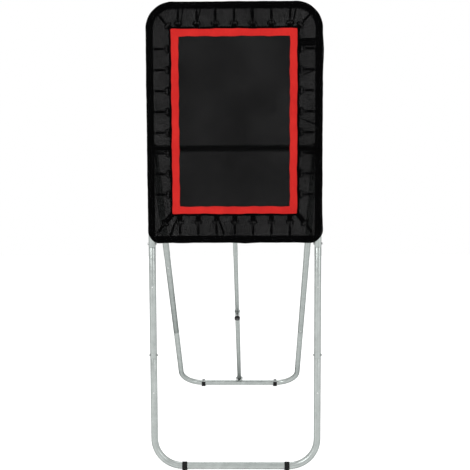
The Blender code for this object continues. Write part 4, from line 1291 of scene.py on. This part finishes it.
def make_strut():
    collar_end = STRUT_TUBE - COLLAR_LENGTH
    length = STRUT_LINE.length
    tube = make_tube("strut_lower_tube", [-STRUT_END * UP, (collar_end + 0.0005) * UP], STRUT_RADIUS,
                     sides=STRUT_SIDES)
    collar = make_tube("strut_collar", [collar_end * UP, STRUT_TUBE * UP], COLLAR_RADIUS,
                       COLLAR_RADIUS - ROD_RADIUS - FIT, sides=STRUT_SIDES)
    round_edges(collar, 0.0006)
    rivet = make_head("rivet", 0.0, 0.0032, 0.0012, 20)
    seat = shift(0.0008, FIT - COLLAR_RADIUS, STRUT_TUBE - COLLAR_LENGTH / 2)
    smooth(settle(rivet, seat @ turned(-pi / 2, "Z")), 30)
    rod = make_tube("strut_upper_rod", [(STRUT_TUBE - ROD_OVERLAP) * UP, (length + STRUT_END) * UP],
                    ROD_RADIUS, sides=STRUT_SIDES)
    dress(settle(tube, STRUT_PLACE), STRUT_STEEL, "strut_lower", "strut_tube")
    dress(settle(collar, STRUT_PLACE), STRUT_STEEL, "strut_lower")
    dress(settle(rivet, STRUT_PLACE), PLASTIC, "strut_lower")
    dress(settle(rod, STRUT_PLACE), STRUT_STEEL, "strut_upper", "strut_rod")

    head, nut = (0.0065, 0.0055), (0.0065, 0.0045)
    seat = LUG_INNER + PLATE + FIT
    low = make_bolt("pin_low", 0.004, (-seat, seat), head, nut)
    dress(settle(low, STRUT_PLACE), ZINC, "strut_lower", "strut_pin_lower")
    seat = FORK_INNER + PLATE + 2 * FIT
    high = settle(make_bolt("pin_high", 0.003, (-seat, seat), head, nut), shift(z=length))
    dress(settle(high, STRUT_PLACE), ZINC, "strut_upper", "strut_pin_upper")

    place = STRUT_PLACE @ shift(z=(STRUT_PLACE.inverted() @ CLAMP).z)
    boss = add_rod("threaded_boss", (0.0, -STRUT_RADIUS - FIT, 0.0), (0.0, KNOB_BASE + 0.0012, 0.0), 0.0075)
    cut(boss, add_rod("bore", (0.0, -0.005, 0.0), (0.0, -0.02, 0.0), 0.0033, 20))
    smooth(round_edges(boss, 0.0007, 3))
    dress(settle(boss, place), ZINC, "strut_lower", "clamp_boss")
    make_knob(place)


def make_knob(place):
    """Fluted knob on its screw, with a paler cap let into its face."""
    base, crown = KNOB_BASE, KNOB_BASE - KNOB_HEIGHT
    knob = add_rod("knob_grip", at(y=base), at(y=crown), KNOB_RADIUS, 96)
    open_mesh(knob, "FACE")
    pick(knob, "FACE", lambda centre: centre.y < crown + 0.0001)
    bpy.ops.mesh.inset(thickness=0.0022)
    bpy.ops.mesh.inset(thickness=0.0030)
    move_open((0.0, 0.0012, 0.0))
    pick(knob, "FACE", lambda centre: centre.y > base - 0.0001)
    bpy.ops.mesh.inset(thickness=0.0030)
    move_open((0.0, -0.0010, 0.0))
    close_mesh()
    for vert in knob.data.vertices:
        reach = hypot(vert.co.x, vert.co.z)
        if reach > 0.0118:
            angle = atan2(vert.co.z, vert.co.x)
            share = 1.0 - FLUTE_DEPTH / reach * (0.5 - 0.5 * cos(FLUTES * angle)) ** 1.5
            vert.co.x *= share
            vert.co.z *= share
    round_edges(knob, 0.0012, 3)
    screw = add_rod("clamp_screw", (0.0, -ROD_RADIUS - FIT, 0.0), (0.0, base - 0.002, 0.0), 0.0029, 20)
    cap = add_rod("knob_cap", (0.0, crown + 0.0013, 0.0), (0.0, crown - 0.0001, 0.0), 0.0066)
    round_edges(cap, 0.0005)
    for piece, material, *nodes in ((knob, PLASTIC, "clamp_knob"), (screw, ZINC), (cap, CAP)):
        dress(settle(smooth(piece), place), material, "clamp", *nodes)


# Feet

def make_front_feet():
    """Rubber clips pushed up round the front bar, flat on the floor, with two grooves each."""
    inner, outer = TUBE_RADIUS + FIT, TUBE_RADIUS + 0.0028

    def rod(name, start, end, radius):
        return add_rod(name, (start, FRONT_Y, BAR_HEIGHT), (end, FRONT_Y, BAR_HEIGHT), radius, 48)

    for _, word in SIDES:
        low, high = (corner.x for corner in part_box("front_foot_" + word))
        clip = rod("clip_" + word, low, high, outer)
        base = add_box("base", (low, FRONT_Y - 0.011, 0.0), (high, FRONT_Y + 0.011, BAR_HEIGHT))
        combine(clip, base, "UNION")
        cut(clip, rod("bore", low - 0.01, high + 0.01, inner))
        cut(clip, add_box("mouth", (low - 0.01, FRONT_Y + 0.0002, BAR_HEIGHT),
                          (high + 0.01, FRONT_Y + 0.0202, BAR_HEIGHT + 0.020)))
        for x in (low + 0.0052, high - 0.0052):
            groove = rod("groove", x - 0.0006, x + 0.0006, outer + 0.002)
            cut(clip, cut(groove, rod("core", x - 0.002, x + 0.002, outer - 0.0007)))
        smooth(round_edges(clip, 0.0004, 2, 45))
        dress(clip, RUBBER, FRONT, "front_foot_" + word)


def make_rear_feet():
    """Rubber saddles under the rear bar, each held by a domed bolt from above."""
    for _, word in SIDES:
        low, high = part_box("rear_foot_" + word)
        centre_x = (low.x + high.x) / 2
        pad = add_box("pad_" + word, low, high)
        open_mesh(pad, "EDGE")
        pick(pad, "EDGE", lambda edge: abs(edge.x - centre_x) < 0.001 and edge.z < 0.001)
        bpy.ops.mesh.bevel(offset=0.0030, segments=4)
        close_mesh()
        start = at(low.x - 0.01, REAR_BAR.y, BAR_HEIGHT)
        end = at(high.x + 0.01, REAR_BAR.y, BAR_HEIGHT)
        cut(pad, add_rod("bore", start, end, TUBE_RADIUS + 0.0004, 48))
        smooth(round_edges(pad, 0.0009, 3, 45))
        dress(pad, RUBBER, REAR, "rear_foot_" + word)
        head = make_head("pad_bolt_" + word, 0.0, 0.0082, 0.0066, 28)
        seat = shift(centre_x, REAR_BAR.y, BAR_HEIGHT + TUBE_RADIUS - 0.0005)
        dress(smooth(settle(head, seat @ turned(-pi / 2, "Y")), 30), BOLT, REAR)


# Studio

def seen_directly(tree):
    """1 for what the camera, a reflection or a clear surface shows, 0 for light that falls on things."""
    light = add_node(tree, "LightPath").outputs
    shown = calc(tree, "MAXIMUM", light["Is Camera Ray"], light["Is Glossy Ray"])
    return calc(tree, "MAXIMUM", shown, light["Is Transmission Ray"])


def floor_material():
    """Pale floor that shows white to the camera and in reflections, and keeps shadows."""
    material, tree, shader = new_material("floor_white", (0.6, 0.6, 0.6), 0.9, 0.0, 0.1)
    shader.inputs["Emission Color"].default_value = (1.0, 1.0, 1.0, 1.0)
    tree.links.new(times(tree, seen_directly(tree), FLOOR_GLOW), shader.inputs["Emission Strength"])
    return material


def make_studio():
    deselect()
    bpy.ops.mesh.primitive_plane_add(size=1.0)
    floor = name_piece("studio_floor")
    floor.scale = (FLOOR_SIZE, FLOOR_SIZE, 1.0)
    bpy.ops.object.transform_apply()
    floor.data.materials.append(floor_material())

    world = bpy.data.worlds.new("studio")
    bpy.context.scene.world = world
    world.use_nodes = True
    tree = world.node_tree
    background = tree.nodes["Background"]
    background.inputs["Color"].default_value = (1.0, 1.0, 1.0, 1.0)
    strength = plus(tree, WORLD_LIGHT, times(tree, seen_directly(tree), 1.0 - WORLD_LIGHT))
    tree.links.new(strength, background.inputs["Strength"])

    add_lamp("key_lamp", (-2.3, -3.4, 2.6), (0.0, -0.3, 1.0), (0.8, 2.2), 52.0)
    add_lamp("fill_lamp", (2.7, -3.0, 1.6), (0.0, -0.3, 0.9), (0.5, 2.4), 19.5)
    add_lamp("back_lamp", (0.0, 2.2, 3.6), (0.0, 0.2, 0.8), (1.6, 1.0), 20.0)


def add_lamp(name, place, target, size, power):
    lamp = bpy.data.lights.new(name, "AREA")
    lamp.shape = "RECTANGLE"
    lamp.size, lamp.size_y = size
    lamp.energy = power
    item = bpy.data.objects.new(name, lamp)
    item.location = place
    item.rotation_euler = (Vector(target) - Vector(place)).to_track_quat("-Z", "Y").to_euler()
    bpy.context.scene.collection.objects.link(item)


def make_camera():
    camera = bpy.data.cameras.new("camera")
    camera.sensor_width = 36.0
    camera.lens = 60.51
    item = bpy.data.objects.new("camera", camera)
    item.location = (0.0529, FRONT_Y - 3.0721, 1.2088)
    heading, tilt, roll = radians(0.977), radians(90 - 4.929), radians(-0.243)
    item.rotation_euler = (turned(heading, "Z") @ turned(tilt, "X") @ turned(roll, "Z")).to_euler()
    bpy.context.scene.collection.objects.link(item)
    bpy.context.scene.camera = item


make_camera()
make_arch()
make_ears()
make_cross_tube()
for side, word in SIDES:
    make_front_leg(side, word)
make_front_foot_tube()
make_joint_screws()
make_fabric()
make_springs()
make_ties()
make_rear_frame()
make_strut()
make_front_feet()
make_rear_feet()
make_studio()
deselect()
bpy.context.scene.view_settings.view_transform = "Standard"
